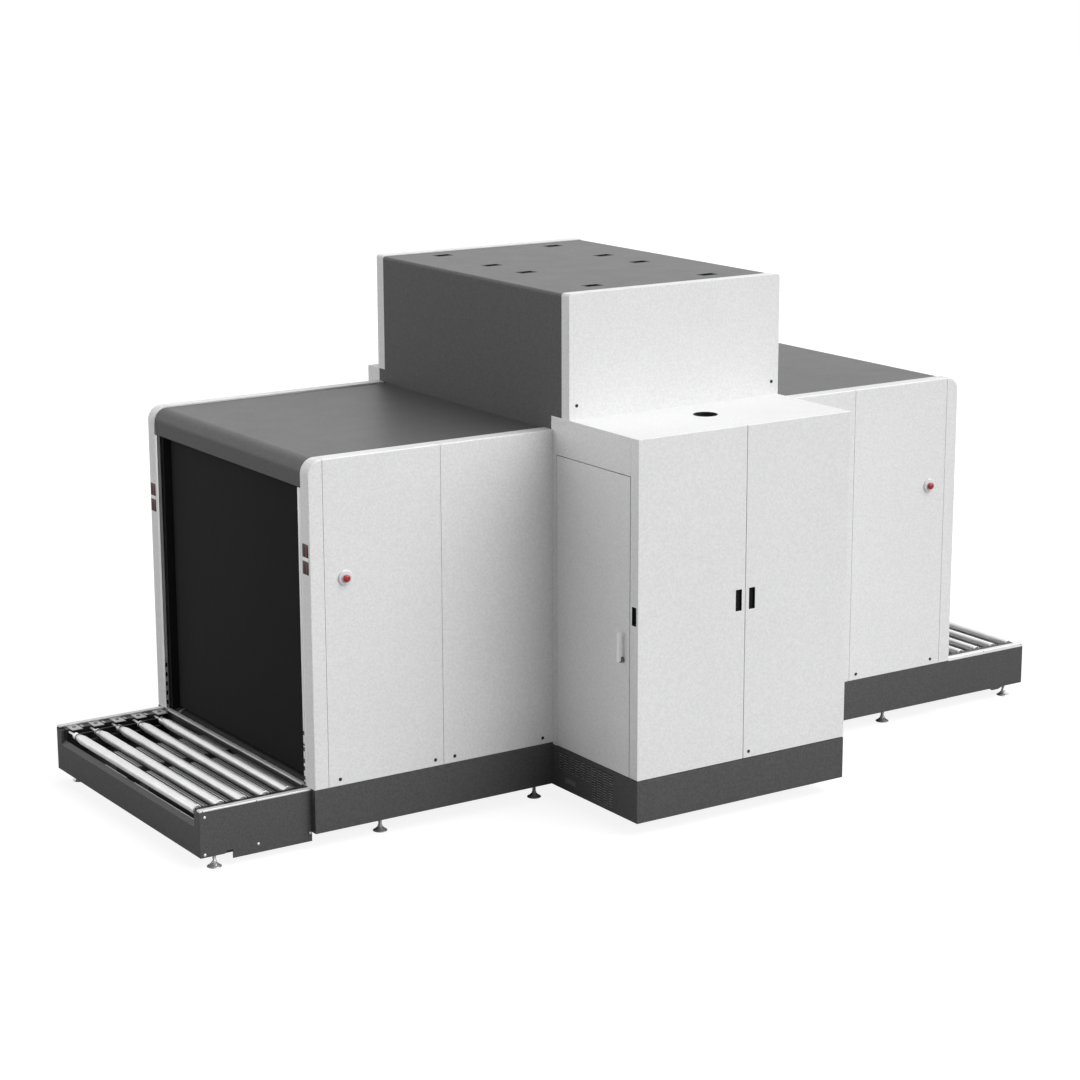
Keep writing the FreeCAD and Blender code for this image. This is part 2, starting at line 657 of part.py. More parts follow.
# Middle block: walls and roof of the tunnel between the two housings
core_walls = [
    block("core_near_wall", ("-cabinet_half", "cabinet_half"),
          ("-(core_near_reach - core_front_gap)", "-tunnel_half"),
          ("skirt_bottom", "ceiling_height")),
    block("core_far_wall", ("-cabinet_half", "cabinet_half"),
          ("tunnel_half", "core_far_reach"), ("skirt_bottom", "ceiling_height")),
]
sub_part(grouped("core_wall_pair", core_walls), "core_walls")
sub_part(block("core_roof_block", ("-cabinet_half", "cabinet_half"),
               ("-(core_near_reach - core_front_gap)", "core_far_reach"),
               ("ceiling_height", "block_top")), "core_roof")

# Upper housing: a dark shell with lifting slots between two light end panels
dome = padded("dome_shell_body", "XZ_Plane",
              [("-cabinet_half", "block_top"), ("cabinet_half", "block_top"),
               ("cabinet_half", "dome_top - dome_drop"),
               ("-cabinet_half", "dome_top - dome_drop")],
              "dome_near_reach + dome_far_reach - 2 * dome_panel")
rounded(dome, "dome_long_edges", "dome_round",
        lambda edge, middle: along(edge, "y") and near(middle.z, "dome_top - dome_drop"))
place(dome, "0", "dome_far_reach - dome_panel", "0")
hook_slots = []
HOOK_ROWS = ("hook_row_far", "hook_row_upper", "-hook_row_lower", "-hook_row_near")
for row, reach in enumerate(HOOK_ROWS, start=1):
    for column, hand in enumerate((-1, 1), start=1):
        middle = f"{hand} * (cabinet_half - hook_side_inset)"
        hook_slots.append(block(f"hook_slot_{row}_{column}",
                                (f"{middle} - hook_slot_length / 2",
                                 f"{middle} + hook_slot_length / 2"),
                                (f"{reach} - hook_slot_width / 2",
                                 f"{reach} + hook_slot_width / 2"),
                                ("dome_top - dome_drop - hook_slot_depth",
                                 "dome_top + dome_drop")))
sub_part(cut("dome_shell_cut", dome, hook_slots), "dome_shell")
panels = []
for side, high in (("near", "-(dome_near_reach - dome_panel)"), ("far", "dome_far_reach")):
    name = f"dome_{side}_panel"
    panel = padded(name + "_body", "XZ_Plane",
                   [("-cabinet_half", "block_top"), ("cabinet_half", "block_top"),
                    ("cabinet_half", "dome_top"), ("-cabinet_half", "dome_top")],
                   "dome_panel")
    rounded(panel, name + "_corners", "dome_round",
            lambda edge, middle: along(edge, "y") and near(middle.z, "dome_top"))
    place(panel, "0", high, "0")
    panels.append(panel)
sub_part(grouped("dome_panel_pair", panels), "dome_end_panels")

# Cabinet plinth with vent slots in its entrance side: full columns at the front and
# short ones, high up, towards the tunnel
plinth = block("plinth_block", ("-cabinet_half", "cabinet_half"),
               ("-cabinet_reach", "-core_near_reach"), ("plinth_bottom", "plinth_top"))
vents = []
for column in range(count("vent_columns")):
    first_row = count("vent_short_start") if column < count("vent_short_columns") else 0
    for row in range(first_row, count("vent_rows")):
        start = f"-core_near_reach - vent_back_margin - {column} * vent_column_pitch"
        low = f"plinth_bottom + vent_low_margin + {row} * vent_pitch"
        vents.append(block(f"vent_{column + 1}_{row}",
                           ("-cabinet_half - seam", "-cabinet_half + vent_slot_depth"),
                           (f"{start} - vent_slot_length", start),
                           (low, f"{low} + vent_slot_height")))
sub_part(cut("plinth_vented", plinth, vents), "cabinet_plinth")

# Cabinet walls: the exit side is whole and the entrance side frames its door
sub_part(block("cabinet_exit_wall_sheet", ("cabinet_half - cabinet_wall", "cabinet_half"),
               ("frame_front", "-core_near_reach"), ("plinth_top", "carcass_top")),
         "cabinet_exit_wall")
entrance_wall = padded("entrance_wall_body", "YZ_Plane",
                       [("frame_front", "plinth_top"), ("-core_near_reach", "plinth_top"),
                        ("-core_near_reach", "carcass_top"), ("frame_front", "carcass_top")],
                       "cabinet_wall + side_door_thickness")
pocketed(entrance_wall, "side_doorway", "YZ_Plane",
         [("side_door_edge + doorway_border", "plinth_top + doorway_border"),
          ("side_door_hinge - doorway_border", "plinth_top + doorway_border"),
          ("side_door_hinge - doorway_border", "side_door_top - doorway_border"),
          ("side_door_edge + doorway_border", "side_door_top - doorway_border")],
         "cabinet_wall + side_door_thickness", True)
pocketed(entrance_wall, "side_door_rebate", "YZ_Plane",
         [("frame_front - seam", "plinth_top - seam"),
          ("side_door_hinge + door_gap", "plinth_top - seam"),
          ("side_door_hinge + door_gap", "side_door_top + door_gap"),
          ("frame_front - seam", "side_door_top + door_gap")],
         "side_door_thickness", True)
place(entrance_wall, "-cabinet_half", "0", "0")
sub_part(entrance_wall, "cabinet_entrance_wall")

# Cabinet top with its round hole
roof_plate = block("cabinet_top_plate", ("-cabinet_half", "cabinet_half"),
                   ("frame_front", "-core_near_reach"), ("carcass_top", "block_top"))
roof_hole = rod("cabinet_top_hole", "z", "cable_hole / 2",
                ("0", "-core_near_reach - cable_hole_offset", "carcass_top - seam"),
                "cabinet_roof + 2 * seam")
sub_part(cut("cabinet_top_cut", roof_plate, [roof_hole]), "cabinet_top")

# Front doors: deep leaves, open at the back, with recessed handles and grips
DOOR_BACK = "frame_front - seat_gap"
HANDLE_SPAN = ("handle_middle - handle_height / 2", "handle_middle + handle_height / 2")
GRIP_REACH = ("-cabinet_reach + side_grip_back",
              "-cabinet_reach + side_grip_back + side_grip_width")
GRIP_SPAN = ("handle_middle - side_grip_height / 2", "handle_middle + side_grip_height / 2")


def shrunk(span, by):
    """A span drawn in at both ends."""
    return (f"({span[0]}) + {by}", f"({span[1]}) - {by}")


for side, hand in (("left", -1), ("right", 1)):
    name = f"{side}_door"
    door_span = ("plinth_top + door_gap", "block_top")
    leaf = block(name + "_leaf", mirrored(hand, "door_gap / 2", "cabinet_half"),
                 ("-cabinet_reach", DOOR_BACK), door_span)
    hollow = block(name + "_hollow",
                   mirrored(hand, "door_gap / 2 + door_shell",
                            "cabinet_half - door_edge_wall"),
                   ("-cabinet_reach + door_shell", f"{DOOR_BACK} + seam"),
                   shrunk(door_span, "door_shell"))
    handle_x = ("handle_offset - handle_width / 2", "handle_offset + handle_width / 2")
    handle_seat = block(name + "_handle_seat", mirrored(hand, *handle_x),
                        ("-cabinet_reach - seam", "-cabinet_reach + handle_recess"),
                        HANDLE_SPAN)
    grip_x = ("cabinet_half - handle_recess", "cabinet_half")
    grip_seat = block(name + "_grip_seat", mirrored(hand, grip_x[0], "cabinet_half + seam"),
                      GRIP_REACH, GRIP_SPAN)
    sub_part(cut(name + "_cut", leaf, [hollow, handle_seat, grip_seat]), name)
    cup = block(name + "_cup", mirrored(hand, *handle_x),
                ("-cabinet_reach", "-cabinet_reach + handle_recess"), HANDLE_SPAN)
    cup_inside = block(name + "_cup_inside",
                       mirrored(hand, *shrunk(handle_x, "handle_lip")),
                       ("-cabinet_reach - seam",
                        "-cabinet_reach + handle_recess - handle_lip"),
                       shrunk(HANDLE_SPAN, "handle_lip"))
    grip = block(name + "_grip", mirrored(hand, *grip_x), GRIP_REACH, GRIP_SPAN)
    grip_inside = block(name + "_grip_inside",
                        mirrored(hand, f"{grip_x[0]} + handle_lip", "cabinet_half + seam"),
                        shrunk(GRIP_REACH, "handle_lip"), shrunk(GRIP_SPAN, "handle_lip"))
    sub_part(grouped(name + "_handle_set", [
        cut(name + "_cup_cut", cup, [cup_inside]),
        cut(name + "_grip_cut", grip, [grip_inside]),
    ]), f"{side}_door_handles")

# Side door and its lever
sub_part(block("side_door_leaf",
               ("-cabinet_half", "-cabinet_half + side_door_thickness - seat_gap"),
               ("side_door_edge", "side_door_hinge"),
               ("plinth_top + door_gap", "side_door_top")), "side_door")
lever_y = "side_door_edge + lever_inset"
lever_x = "-cabinet_half - lever_standoff"
sub_part(rod("lever_base_boss", "x", "lever_boss",
             (lever_x, lever_y, "lever_pivot_height"), "lever_standoff"),
         "side_door_lever_base")
lever_arm = block("lever_arm", (f"{lever_x} - lever_thickness", f"{lever_x} - seat_gap"),
                  (f"{lever_y} - lever_width / 2", f"{lever_y} + lever_width / 2"),
                  ("lever_pivot_height", "lever_pivot_height + lever_length"))
lever_hub = rod("lever_hub", "x", "lever_width / 2",
                (f"{lever_x} - lever_thickness", lever_y, "lever_pivot_height"),
                "lever_thickness - seat_gap")
sub_part(fused("lever_all", [lever_arm, lever_hub]), "side_door_lever")

# Rear cover and its plinth
sub_part(block("rear_cover_sheet", ("-cabinet_half", "cabinet_half"),
               ("core_far_reach", "rear_reach"), ("plinth_top", "block_top")), "rear_cover")
sub_part(block("rear_plinth_block", ("-cabinet_half", "cabinet_half"),
               ("core_far_reach", "rear_reach - rear_plinth_inset"),
               ("plinth_bottom", "plinth_top")), "rear_plinth")


def stadium(name, reach, radius, middle_height, half_width):
    """A flat loop's outline: a box with a round at each end, across the tunnel."""
    reach_of_centre = f"(({reach}) - ({radius}))"
    bar = block(name + "_bar", (f"-{reach_of_centre}", reach_of_centre),
                (f"-({half_width})", half_width),
                (f"{middle_height} - ({radius})", f"{middle_height} + ({radius})"))
    ends = []
    for end, way in ENDS:
        ends.append(rod(f"{name}_{end}_round", "y", radius,
                        (f"{way} * {reach_of_centre}", f"-({half_width})", middle_height),
                        f"2 * ({half_width})"))
    return fused(name, [bar] + ends)


# Belt conveyor: one closed loop round two drums, over a slider bed on legs
belt_end = "housing_reach - sill_depth - belt_end_gap"
belt_radius = "belt_depth / 2"
belt_centre = "belt_top - belt_depth / 2"
belt_low = "belt_top - belt_depth"
bed_low = "belt_top - belt_thickness - bed_depth"
belt_outer = stadium("belt_outer", belt_end, belt_radius, belt_centre, "tunnel_half - belt_side_gap")
belt_inner = stadium("belt_inner", f"{belt_end} - belt_thickness",
                     f"{belt_radius} - belt_thickness", belt_centre, "tunnel_half - belt_side_gap + seam")
sub_part(cut("belt_loop", belt_outer, [belt_inner]), "conveyor_belt")
drums = []
for end, way in ENDS:
    drums.append(rod(f"{end}_drum", "y", f"{belt_radius} - belt_thickness - drum_gap",
                     (f"{way} * ({belt_end} - {belt_radius})", "-tunnel_half", belt_centre),
                     "2 * tunnel_half"))
sub_part(grouped("drum_pair", drums), "belt_drums")
sub_part(block("slider_bed_box",
               (f"-({belt_end} - bed_setback)", f"{belt_end} - bed_setback"),
               ("-tunnel_half", "tunnel_half"),
               (bed_low, "belt_top - belt_thickness")), "belt_slider_bed")
beams = []
for end, way in ENDS:
    for position, middle in (("inner", "cabinet_half + cross_beam_inner_step"),
                             ("outer", "housing_reach - cross_beam_outer_inset")):
        name = f"{end}_{position}_cross_beam"
        span = mirrored(way, f"{middle} - cross_beam / 2", f"{middle} + cross_beam / 2")
        forms = [block(name + "_bar", span, ("-tunnel_half", "tunnel_half"),
                       ("skirt_bottom", f"{belt_low} - seat_gap"))]
        for side, hand in SIDES:
            forms.append(block(f"{name}_{side}_leg", span,
                               mirrored(hand, "tunnel_half - bed_leg", "tunnel_half"),
                               ("skirt_bottom", bed_low)))
        beams.append(fused(name + "_all", forms))
sub_part(grouped("cross_beam_set", beams), "cross_beams")

# Roller conveyors at both ends
ROLLERS = count("rollers")
plates = []
side_beams = []
caps = []
end_plates = []
slat_beds = []
bands = []


def roller_place(way, index):
    """How far along the conveyor a roller turns."""
    return f"{way} * (first_roller - {index} * roller_pitch)"


def slat_outline(way, middle, width):
    """The T-shaped section of a slat on its web."""
    foot, head = "slat_web / 2", f"{width} / 2"
    step, top = "slat_top - slat_thickness", "slat_top"
    corners = ((f"- {foot}", "tray_top - seam"), (f"+ {foot}", "tray_top - seam"),
               (f"+ {foot}", step), (f"+ {head}", step), (f"+ {head}", top),
               (f"- {head}", top), (f"- {head}", step), (f"- {foot}", step))
    return [(f"{way} * ({middle} {across})", up) for across, up in corners]


for end, way in ENDS:
    for side, hand in SIDES:
        # side plate with a lower flap and a notch beside the outer foot
        name = f"{end}_{side}_side_plate"
        plate = padded(name, "XZ_Plane",
                       [(f"{way} * housing_reach", "flap_bottom"),
                        (f"{way} * flap_start", "flap_bottom"),
                        (f"{way} * flap_start", "foot_gap + notch_height"),
                        (f"{way} * (flap_start + notch_width)", "foot_gap + notch_height"),
                        (f"{way} * (flap_start + notch_width + notch_height)", "foot_gap"),
                        (f"{way} * conveyor_reach", "foot_gap"),
                        (f"{way} * conveyor_reach", "conveyor_side_top"),
                        (f"{way} * housing_reach", "conveyor_side_top")],
                       "plate_thickness")
        place(plate, "0", mirrored(hand, "conveyor_side_reach - plate_thickness",
                                   "conveyor_side_reach")[1], "0")
        plates.append(plate)

        # side beam that carries the rollers, with a hole for each pin
        name = f"{end}_{side}_side_beam"
        beam = block(name + "_bar",
                     mirrored(way, "housing_reach", "conveyor_reach - end_plate_thickness"),
                     mirrored(hand, "side_beam_reach",
                              "conveyor_side_reach - plate_thickness"),
                     ("foot_gap", "conveyor_side_top"))
        start = mirrored(hand, "side_beam_reach - seam",
                         "side_beam_reach + pin_depth + pin_clearance")[0]
        holes = [prism(f"{name}_hole_{index + 1}", "y", HEXAGON,
                       "pin_half_width / cos(30) + pin_clearance",
                       (roller_place(way, index), start, "roller_height"),
                       "pin_depth + pin_clearance + seam") for index in range(ROLLERS)]
        side_beams.append(cut(name + "_cut", beam, holes))

        # light cap along the side
        caps.append(block(f"{end}_{side}_cap",
                          mirrored(way, "housing_reach", "conveyor_reach - seam"),
                          mirrored(hand, "conveyor_side_reach - rail_cap_width",
                                   "conveyor_side_reach"),
                          ("conveyor_side_top", "conveyor_side_top + rail_cap_thickness")))

    # end plate with a sloped lip, joined to a post at each corner
    lip_inner = f"{way} * (conveyor_reach - end_plate_thickness)"
    end_half = "(conveyor_side_reach - plate_thickness)"
    end_plate = padded(f"{end}_end_plate_body", "XZ_Plane",
                       [(lip_inner, "foot_gap"), (f"{way} * conveyor_reach", "foot_gap"),
                        (f"{way} * conveyor_reach", "end_plate_top - end_lip / 2"),
                        (lip_inner, "end_plate_top")], f"2 * {end_half}")
    place(end_plate, "0", end_half, "0")
    forms = [end_plate]
    for side, hand in SIDES:
        forms.append(block(f"{end}_{side}_post",
                           mirrored(way, "conveyor_reach - end_plate_thickness",
                                    "conveyor_reach"),
                           mirrored(hand, f"{end_half} - corner_post_width", end_half),
                           ("foot_gap", "corner_post_top")))
    end_plates.append(fused(f"{end}_end_plate_all", forms))

    # bottom tray with the slats that stand on it between the rollers
    forms = [block(f"{end}_tray_plate",
                   mirrored(way, "housing_reach", "conveyor_reach - end_plate_thickness"),
                   ("-side_beam_reach", "side_beam_reach"),
                   ("tray_top - tray_thickness", "tray_top"))]
    slat_places = [(f"first_roller - {index + 0.5} * roller_pitch", "slat_width")
                   for index in range(ROLLERS - 1)]
    slat_places.append(("housing_reach + seam + mouth_slat_width / 2", "mouth_slat_width"))
    for index, (middle, width) in enumerate(slat_places, start=1):
        slat = padded(f"{end}_slat_{index}", "XZ_Plane", slat_outline(way, middle, width),
                      "side_beam_reach + slat_far_reach")
        place(slat, "0", "slat_far_reach", "0")
        forms.append(slat)
    slat_beds.append(fused(f"{end}_slat_bed_all", forms))

    # rollers: a tube with a tapered far end, a belt wheel and two pins
    for index in range(ROLLERS):
        name = f"{end}_roller_{index + 1}"
        x = roller_place(way, index)
        tube_start = "-(side_beam_reach - roller_end_gap)"
        forms = [
            rod(name + "_tube", "y", "roller_radius", (x, tube_start, "roller_height"),
                "side_beam_reach - roller_end_gap + roller_far_reach - roller_taper"),
            cone(name + "_taper", "y", "roller_radius", "roller_end_radius",
                 (x, "roller_far_reach - roller_taper", "roller_height"), "roller_taper"),
            rod(name + "_wheel", "y", "roller_end_radius",
                (x, "roller_far_reach", "roller_height"), "wheel_length"),
            prism(name + "_pin", "y", HEXAGON, "pin_half_width",
                  (x, "-(side_beam_reach + pin_depth)", "roller_height"),
                  "2 * (side_beam_reach + pin_depth)"),
        ]
        sub_part(fused(name + "_all", forms), name)

    # drive bands: fixed loops that link each roller to the next
    for index in range(ROLLERS - 1):
        name = f"{end}_band_{index + 1}"
        track = f"roller_far_reach + band_width + {index % 2} * band_step"
        loops = []
        for part, radius, extra in (
                ("outer", "(roller_end_radius + seat_gap + band_thickness)", "0"),
                ("inner", "(roller_end_radius + seat_gap)", "seam")):
            corner = f"{radius} / cos({HALF_TURN / TWELVE_SIDES})"
            forms = [block(f"{name}_{part}_bar",
                           mirrored(way, f"first_roller - {index + 1} * roller_pitch",
                                    f"first_roller - {index} * roller_pitch"),
                           (f"{track} - {extra}", f"{track} + band_width + {extra}"),
                           (f"roller_height - {corner}", f"roller_height + {corner}"))]
            for which in (index, index + 1):
                forms.append(prism(f"{name}_{part}_turn_{which + 1}", "y", TWELVE_SIDES,
                                   radius, (roller_place(way, which), f"{track} - {extra}",
                                            "roller_height"), f"band_width + 2 * {extra}"))
            loops.append(fused(f"{name}_{part}", forms))
        bands.append(cut(name, loops[0], [loops[1]]))

sub_part(grouped("side_plate_set", plates), "conveyor_side_plates")
sub_part(grouped("side_beam_set", side_beams), "conveyor_side_beams")
sub_part(grouped("cap_set", caps), "rail_caps")
sub_part(grouped("end_plate_set", end_plates), "conveyor_end_plates")
sub_part(grouped("slat_bed_set", slat_beds), "conveyor_slat_beds")
sub_part(grouped("band_set", bands), "drive_bands")


# Levelling feet
def foot(name, x, y, top):
    """A bell-shaped foot on a stem."""
    return fused(name, [
        cone(name + "_bell", "z", "foot_radius", "foot_neck", (x, y, "0"), "foot_bell"),
        prism(name + "_stem", "z", HEXAGON, "foot_stem", (x, y, "foot_bell - seam"),
              f"{top} - foot_bell + seam"),
    ])


feet = []
for end, way in ENDS:
    for side, hand in SIDES:
        for position, reach, top in (
                ("outer", "conveyor_reach - outer_foot_inset", "foot_gap"),
                ("middle", "housing_reach - middle_foot_inset", "skirt_bottom"),
                ("inner", "cabinet_half + inner_foot_step", "skirt_bottom")):
            feet.append(foot(f"{end}_{side}_{position}_foot", f"{way} * ({reach})",
                             f"{hand} * foot_line", top))
    feet.append(foot(f"cabinet_{end}_foot", f"{way} * (cabinet_half - cabinet_foot_inset)",
                     "-(cabinet_reach - cabinet_foot_setback)", "plinth_bottom"))
sub_part(grouped("foot_set", feet), "levelling_feet")

# Stop buttons: a mushroom head that pushes into a round base
bases = []
for end, way in ENDS:
    for side, hand in SIDES:
        name = f"{end}_{side}_stop"
        x = f"{way} * (housing_reach - button_inset)"
        base = rod(name + "_base_disc", "y", "button_ring",
                   (x, mirrored(hand, "side_reach", "side_reach + button_ring_depth")[0],
                    "button_level"), "button_ring_depth")
        face = "side_reach + button_ring_depth"
        well = prism(name + "_well", "y", HEXAGON, "button_stem + pin_clearance",
                     (x, mirrored(hand, "side_reach + button_floor", f"{face} + seam")[0],
                      "button_level"), "button_ring_depth - button_floor + seam")
        bases.append(cut(name + "_base", base, [well]))
        lift = "button_travel + seat_gap"
        head = rod(name + "_head", "y", "button_radius",
                   (x, mirrored(hand, f"{face} + {lift}", f"{face} + {lift} + button_height")[0],
                    "button_level"), "button_height")
        stem = prism(name + "_stem", "y", HEXAGON, "button_stem",
                     (x, mirrored(hand, f"{face} - button_overlap", f"{face} + {lift}")[0],
                      "button_level"), f"{lift} + button_overlap")
        sub_part(fused(name + "_all", [head, stem]), f"{end}_{side}_stop_button")
sub_part(grouped("stop_base_set", bases), "stop_button_bases")

doc.recompute()

problems = []
for item in doc.Objects:
    if "Invalid" in item.State or "Error" in item.State:
        problems.append(f"{item.Label}: {item.State}")
for piece in sub_parts:
    if piece.Shape.isNull() or not piece.Shape.isValid():
        problems.append(f"{piece.Label}: bad shape")
if problems:
    raise RuntimeError("\n".join(problems))

os.makedirs("parts", exist_ok=True)
for piece in sub_parts:
    piece.Shape.exportStep(f"parts/{piece.Label}.step")
    box = piece.Shape.BoundBox
    print(f"{piece.Label:28s} solids {len(piece.Shape.Solids):3d}"
          f"  x {box.XMin:8.1f} {box.XMax:8.1f}  y {box.YMin:8.1f} {box.YMax:8.1f}"
          f"  z {box.ZMin:8.1f} {box.ZMax:8.1f}")
print("nodes", len(sub_parts))
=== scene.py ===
"""Looks for the baggage x-ray scanner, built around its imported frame."""

import json
import math

import bmesh
import bpy
from mathutils import Matrix, Vector


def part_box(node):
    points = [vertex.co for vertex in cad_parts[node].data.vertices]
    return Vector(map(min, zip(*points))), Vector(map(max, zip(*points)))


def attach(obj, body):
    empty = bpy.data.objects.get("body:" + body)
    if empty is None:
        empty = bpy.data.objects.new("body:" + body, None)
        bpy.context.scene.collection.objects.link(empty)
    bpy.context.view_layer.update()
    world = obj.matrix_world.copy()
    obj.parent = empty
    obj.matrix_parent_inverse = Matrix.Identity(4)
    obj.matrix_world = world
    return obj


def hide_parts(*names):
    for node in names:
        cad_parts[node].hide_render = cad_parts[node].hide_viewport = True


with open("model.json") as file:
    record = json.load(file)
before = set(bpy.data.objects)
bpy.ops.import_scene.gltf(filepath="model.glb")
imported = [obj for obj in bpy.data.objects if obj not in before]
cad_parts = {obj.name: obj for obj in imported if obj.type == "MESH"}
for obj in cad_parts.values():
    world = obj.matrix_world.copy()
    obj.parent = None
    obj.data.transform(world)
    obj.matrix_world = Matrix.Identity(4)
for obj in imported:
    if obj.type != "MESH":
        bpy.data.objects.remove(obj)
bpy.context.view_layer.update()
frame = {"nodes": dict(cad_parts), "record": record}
NODES = frame["nodes"]
RECORD = frame["record"]
SLOT_OF = {part["node"]: part["material_slot"] for part in RECORD["subparts"]}
ROOT = "machine"
MM = 0.001
ENDS = (("entrance", -1), ("exit", 1))
SIDES = (("near", -1), ("far", 1))

# Places read from the frame, in metres
SIDE_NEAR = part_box("near_side_panels")[0].y
SIDE_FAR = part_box("far_side_panels")[1].y
AXIS_Y = (SIDE_NEAR + SIDE_FAR) / 2
HOUSING_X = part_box("base_skirts")[1].x
CONVEYOR_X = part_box("conveyor_side_plates")[1].x
CABINET_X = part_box("cabinet_plinth")[1].x
CABINET_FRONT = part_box("left_door")[0].y
SKIRT_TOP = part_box("base_skirts")[1].z
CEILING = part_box("tunnel_ceilings")[0].z
BEAM_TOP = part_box("conveyor_side_beams")[1].z

# Places that the photograph gives, in metres; those across are measured from the tunnel's axis
PANEL_REACH = 1.050          # outer face of the housings' side panels
PLATE_REACH = 1.005          # outer face of the conveyors' side plates
PLATE_THICKNESS = 0.008
FOOT_REACH = 0.946
ROLLER_NEAR_REACH = 0.899    # near end of a roller's tube
ROLLER_FAR_REACH = 0.745     # far end of a roller's tube
ROLLER_PITCH = 0.148
ROLLERS = 5
ROLLER_X = [CONVEYOR_X - 0.042 - index * ROLLER_PITCH for index in range(ROLLERS)]
SCREW_HEIGHT = 0.411         # lower row of panel screws


# Camera: the photograph's place, direction and lens
CAMERA_PLACE = (-9.5876, -13.8206, 5.4297)
CAMERA_AZIMUTH, CAMERA_ELEVATION, CAMERA_ROLL = -33.4852, 13.4035, -0.1729
CAMERA_LENS, SENSOR = 89.159, 36.0


def make_camera():
    """The camera that took the photograph."""
    azimuth, elevation, roll = map(math.radians, (CAMERA_AZIMUTH, CAMERA_ELEVATION, CAMERA_ROLL))
    back = Vector((math.sin(azimuth) * math.cos(elevation),
                   -math.cos(azimuth) * math.cos(elevation), math.sin(elevation)))
    right = Vector((math.cos(azimuth), math.sin(azimuth), 0))
    above = back.cross(right)
    turned_right = math.cos(roll) * right + math.sin(roll) * above
    turned_above = -math.sin(roll) * right + math.cos(roll) * above
    data = bpy.data.cameras.new("camera")
    data.sensor_width = SENSOR
    data.lens = CAMERA_LENS
    data.clip_start, data.clip_end = 0.1, 400
    camera = bpy.data.objects.new("camera", data)
    camera.matrix_world = Matrix.Translation(CAMERA_PLACE) @ Matrix(
        (turned_right, turned_above, back)).transposed().to_4x4()
    bpy.context.scene.collection.objects.link(camera)
    bpy.context.scene.camera = camera


# Node helpers
class Shader:
    """A material's node tree, with short calls for the nodes it uses."""

    def __init__(self, name):
        self.material = bpy.data.materials.new(name)
        self.material.use_nodes = True
        self.tree = self.material.node_tree
        self.tree.nodes.clear()
        self.output = self.tree.nodes.new("ShaderNodeOutputMaterial")

    def node(self, kind, inputs=None, **settings):
        made = self.tree.nodes.new("ShaderNode" + kind)
        for key, value in settings.items():
            setattr(made, key, value)
        for key, value in (inputs or {}).items():
            self.feed(made, key, value)
        return made

    def feed(self, node, key, value):
        if isinstance(value, bpy.types.NodeSocket):
            self.tree.links.new(value, node.inputs[key])
        else:
            node.inputs[key].default_value = value

    def noise(self, scale, detail=3.0, rough=0.55, stretch=(1, 1, 1), distortion=0.0):
        """Cloudy noise in the row frame."""
        place = self.node("TexCoord").outputs["Object"]
        place = self.node("Mapping", {"Vector": place, "Scale": stretch}).outputs["Vector"]
        return self.node("TexNoise", {"Vector": place, "Scale": scale, "Detail": detail,
                                      "Roughness": rough,
                                      "Distortion": distortion}).outputs["Fac"]

    def spread(self, value, low, high, start=0.3, stop=0.7):
        """A value mapped from start..stop to low..high."""
        return self.node("MapRange", {"Value": value, "From Min": start, "From Max": stop,
                                      "To Min": low, "To Max": high}).outputs["Result"]

    def maths(self, kind, first, second):
        return self.node("Math", {0: first, 1: second}, operation=kind).outputs["Value"]

    def blend(self, share, first, second, kind="MIX"):
        made = self.node("Mix", data_type="RGBA", blend_type=kind)
        self.feed(made, 0, share)
        self.feed(made, 6, first)
        self.feed(made, 7, second)
        return made.outputs[2]

    def bump(self, height, strength, distance, before=None):
        inputs = {"Height": height, "Strength": strength, "Distance": distance}
        if before is not None:
            inputs["Normal"] = before
        return self.node("Bump", inputs).outputs["Normal"]

    def finish(self, colour, roughness, normal=None, **constants):
        made = self.node("BsdfPrincipled", {"Base Color": colour, "Roughness": roughness})
        for key, value in constants.items():
            made.inputs[key.replace("_", " ")].default_value = value
        if normal is not None:
            self.feed(made, "Normal", normal)
        self.tree.links.new(made.outputs["BSDF"], self.output.inputs["Surface"])
        return self.material


def grey(value, tint=(1, 1, 1)):
    return (value * tint[0], value * tint[1], value * tint[2], 1)


def shaded(shader, colour, *factors):
    """A colour times one or more varying factors."""
    result = None
    for factor in factors:
        result = factor if result is None else shader.maths("MULTIPLY", result, factor)
    tone = shader.node("CombineColor", {"Red": result, "Green": result, "Blue": result})
    return shader.blend(1.0, colour, tone.outputs["Color"], "MULTIPLY")


def floor_dirt(shader, reach, depth):
    """Darker towards the floor, in uneven streaks."""
    place = shader.node("TexCoord").outputs["Object"]
    height = shader.node("SeparateXYZ", {"Vector": place}).outputs["Z"]
    uneven = shader.noise(2.2, 4, 0.6, (1, 1, 0.25))
    height = shader.maths("ADD", height, shader.spread(uneven, -0.08, 0.08))
    return shader.spread(height, 1 - depth, 1.0, 0.0, reach)


def powder_paint(name, colour, speckle, roughness, peel, dirt=0.0, gloss=0.45, smear=0.05):
    """Powder coat: fine mottling, orange peel, faint clouds and a little floor dirt."""
    shader = Shader(name)
    fine = shader.spread(shader.noise(78, 2.0, 0.6), 1 - speckle, 1 + speckle, 0.34, 0.66)
    grain = shader.spread(shader.noise(420, 1.5, 0.6), 1 - speckle * 0.5, 1 + speckle * 0.5)
    cloud = shader.spread(shader.noise(0.9, 3, 0.5), 0.985, 1.015)
    factors = [fine, grain, cloud]
    if dirt:
        factors.append(floor_dirt(shader, 0.6, dirt))
    tone = shaded(shader, colour, *factors)
    skin = shader.noise(330, 2, 0.5)
    normal = shader.bump(skin, peel, 0.0006)
    rough = shader.spread(shader.noise(5, 4, 0.6), roughness - smear, roughness + smear)
    return shader.finish(tone, rough, normal, Specular_IOR_Level=gloss)


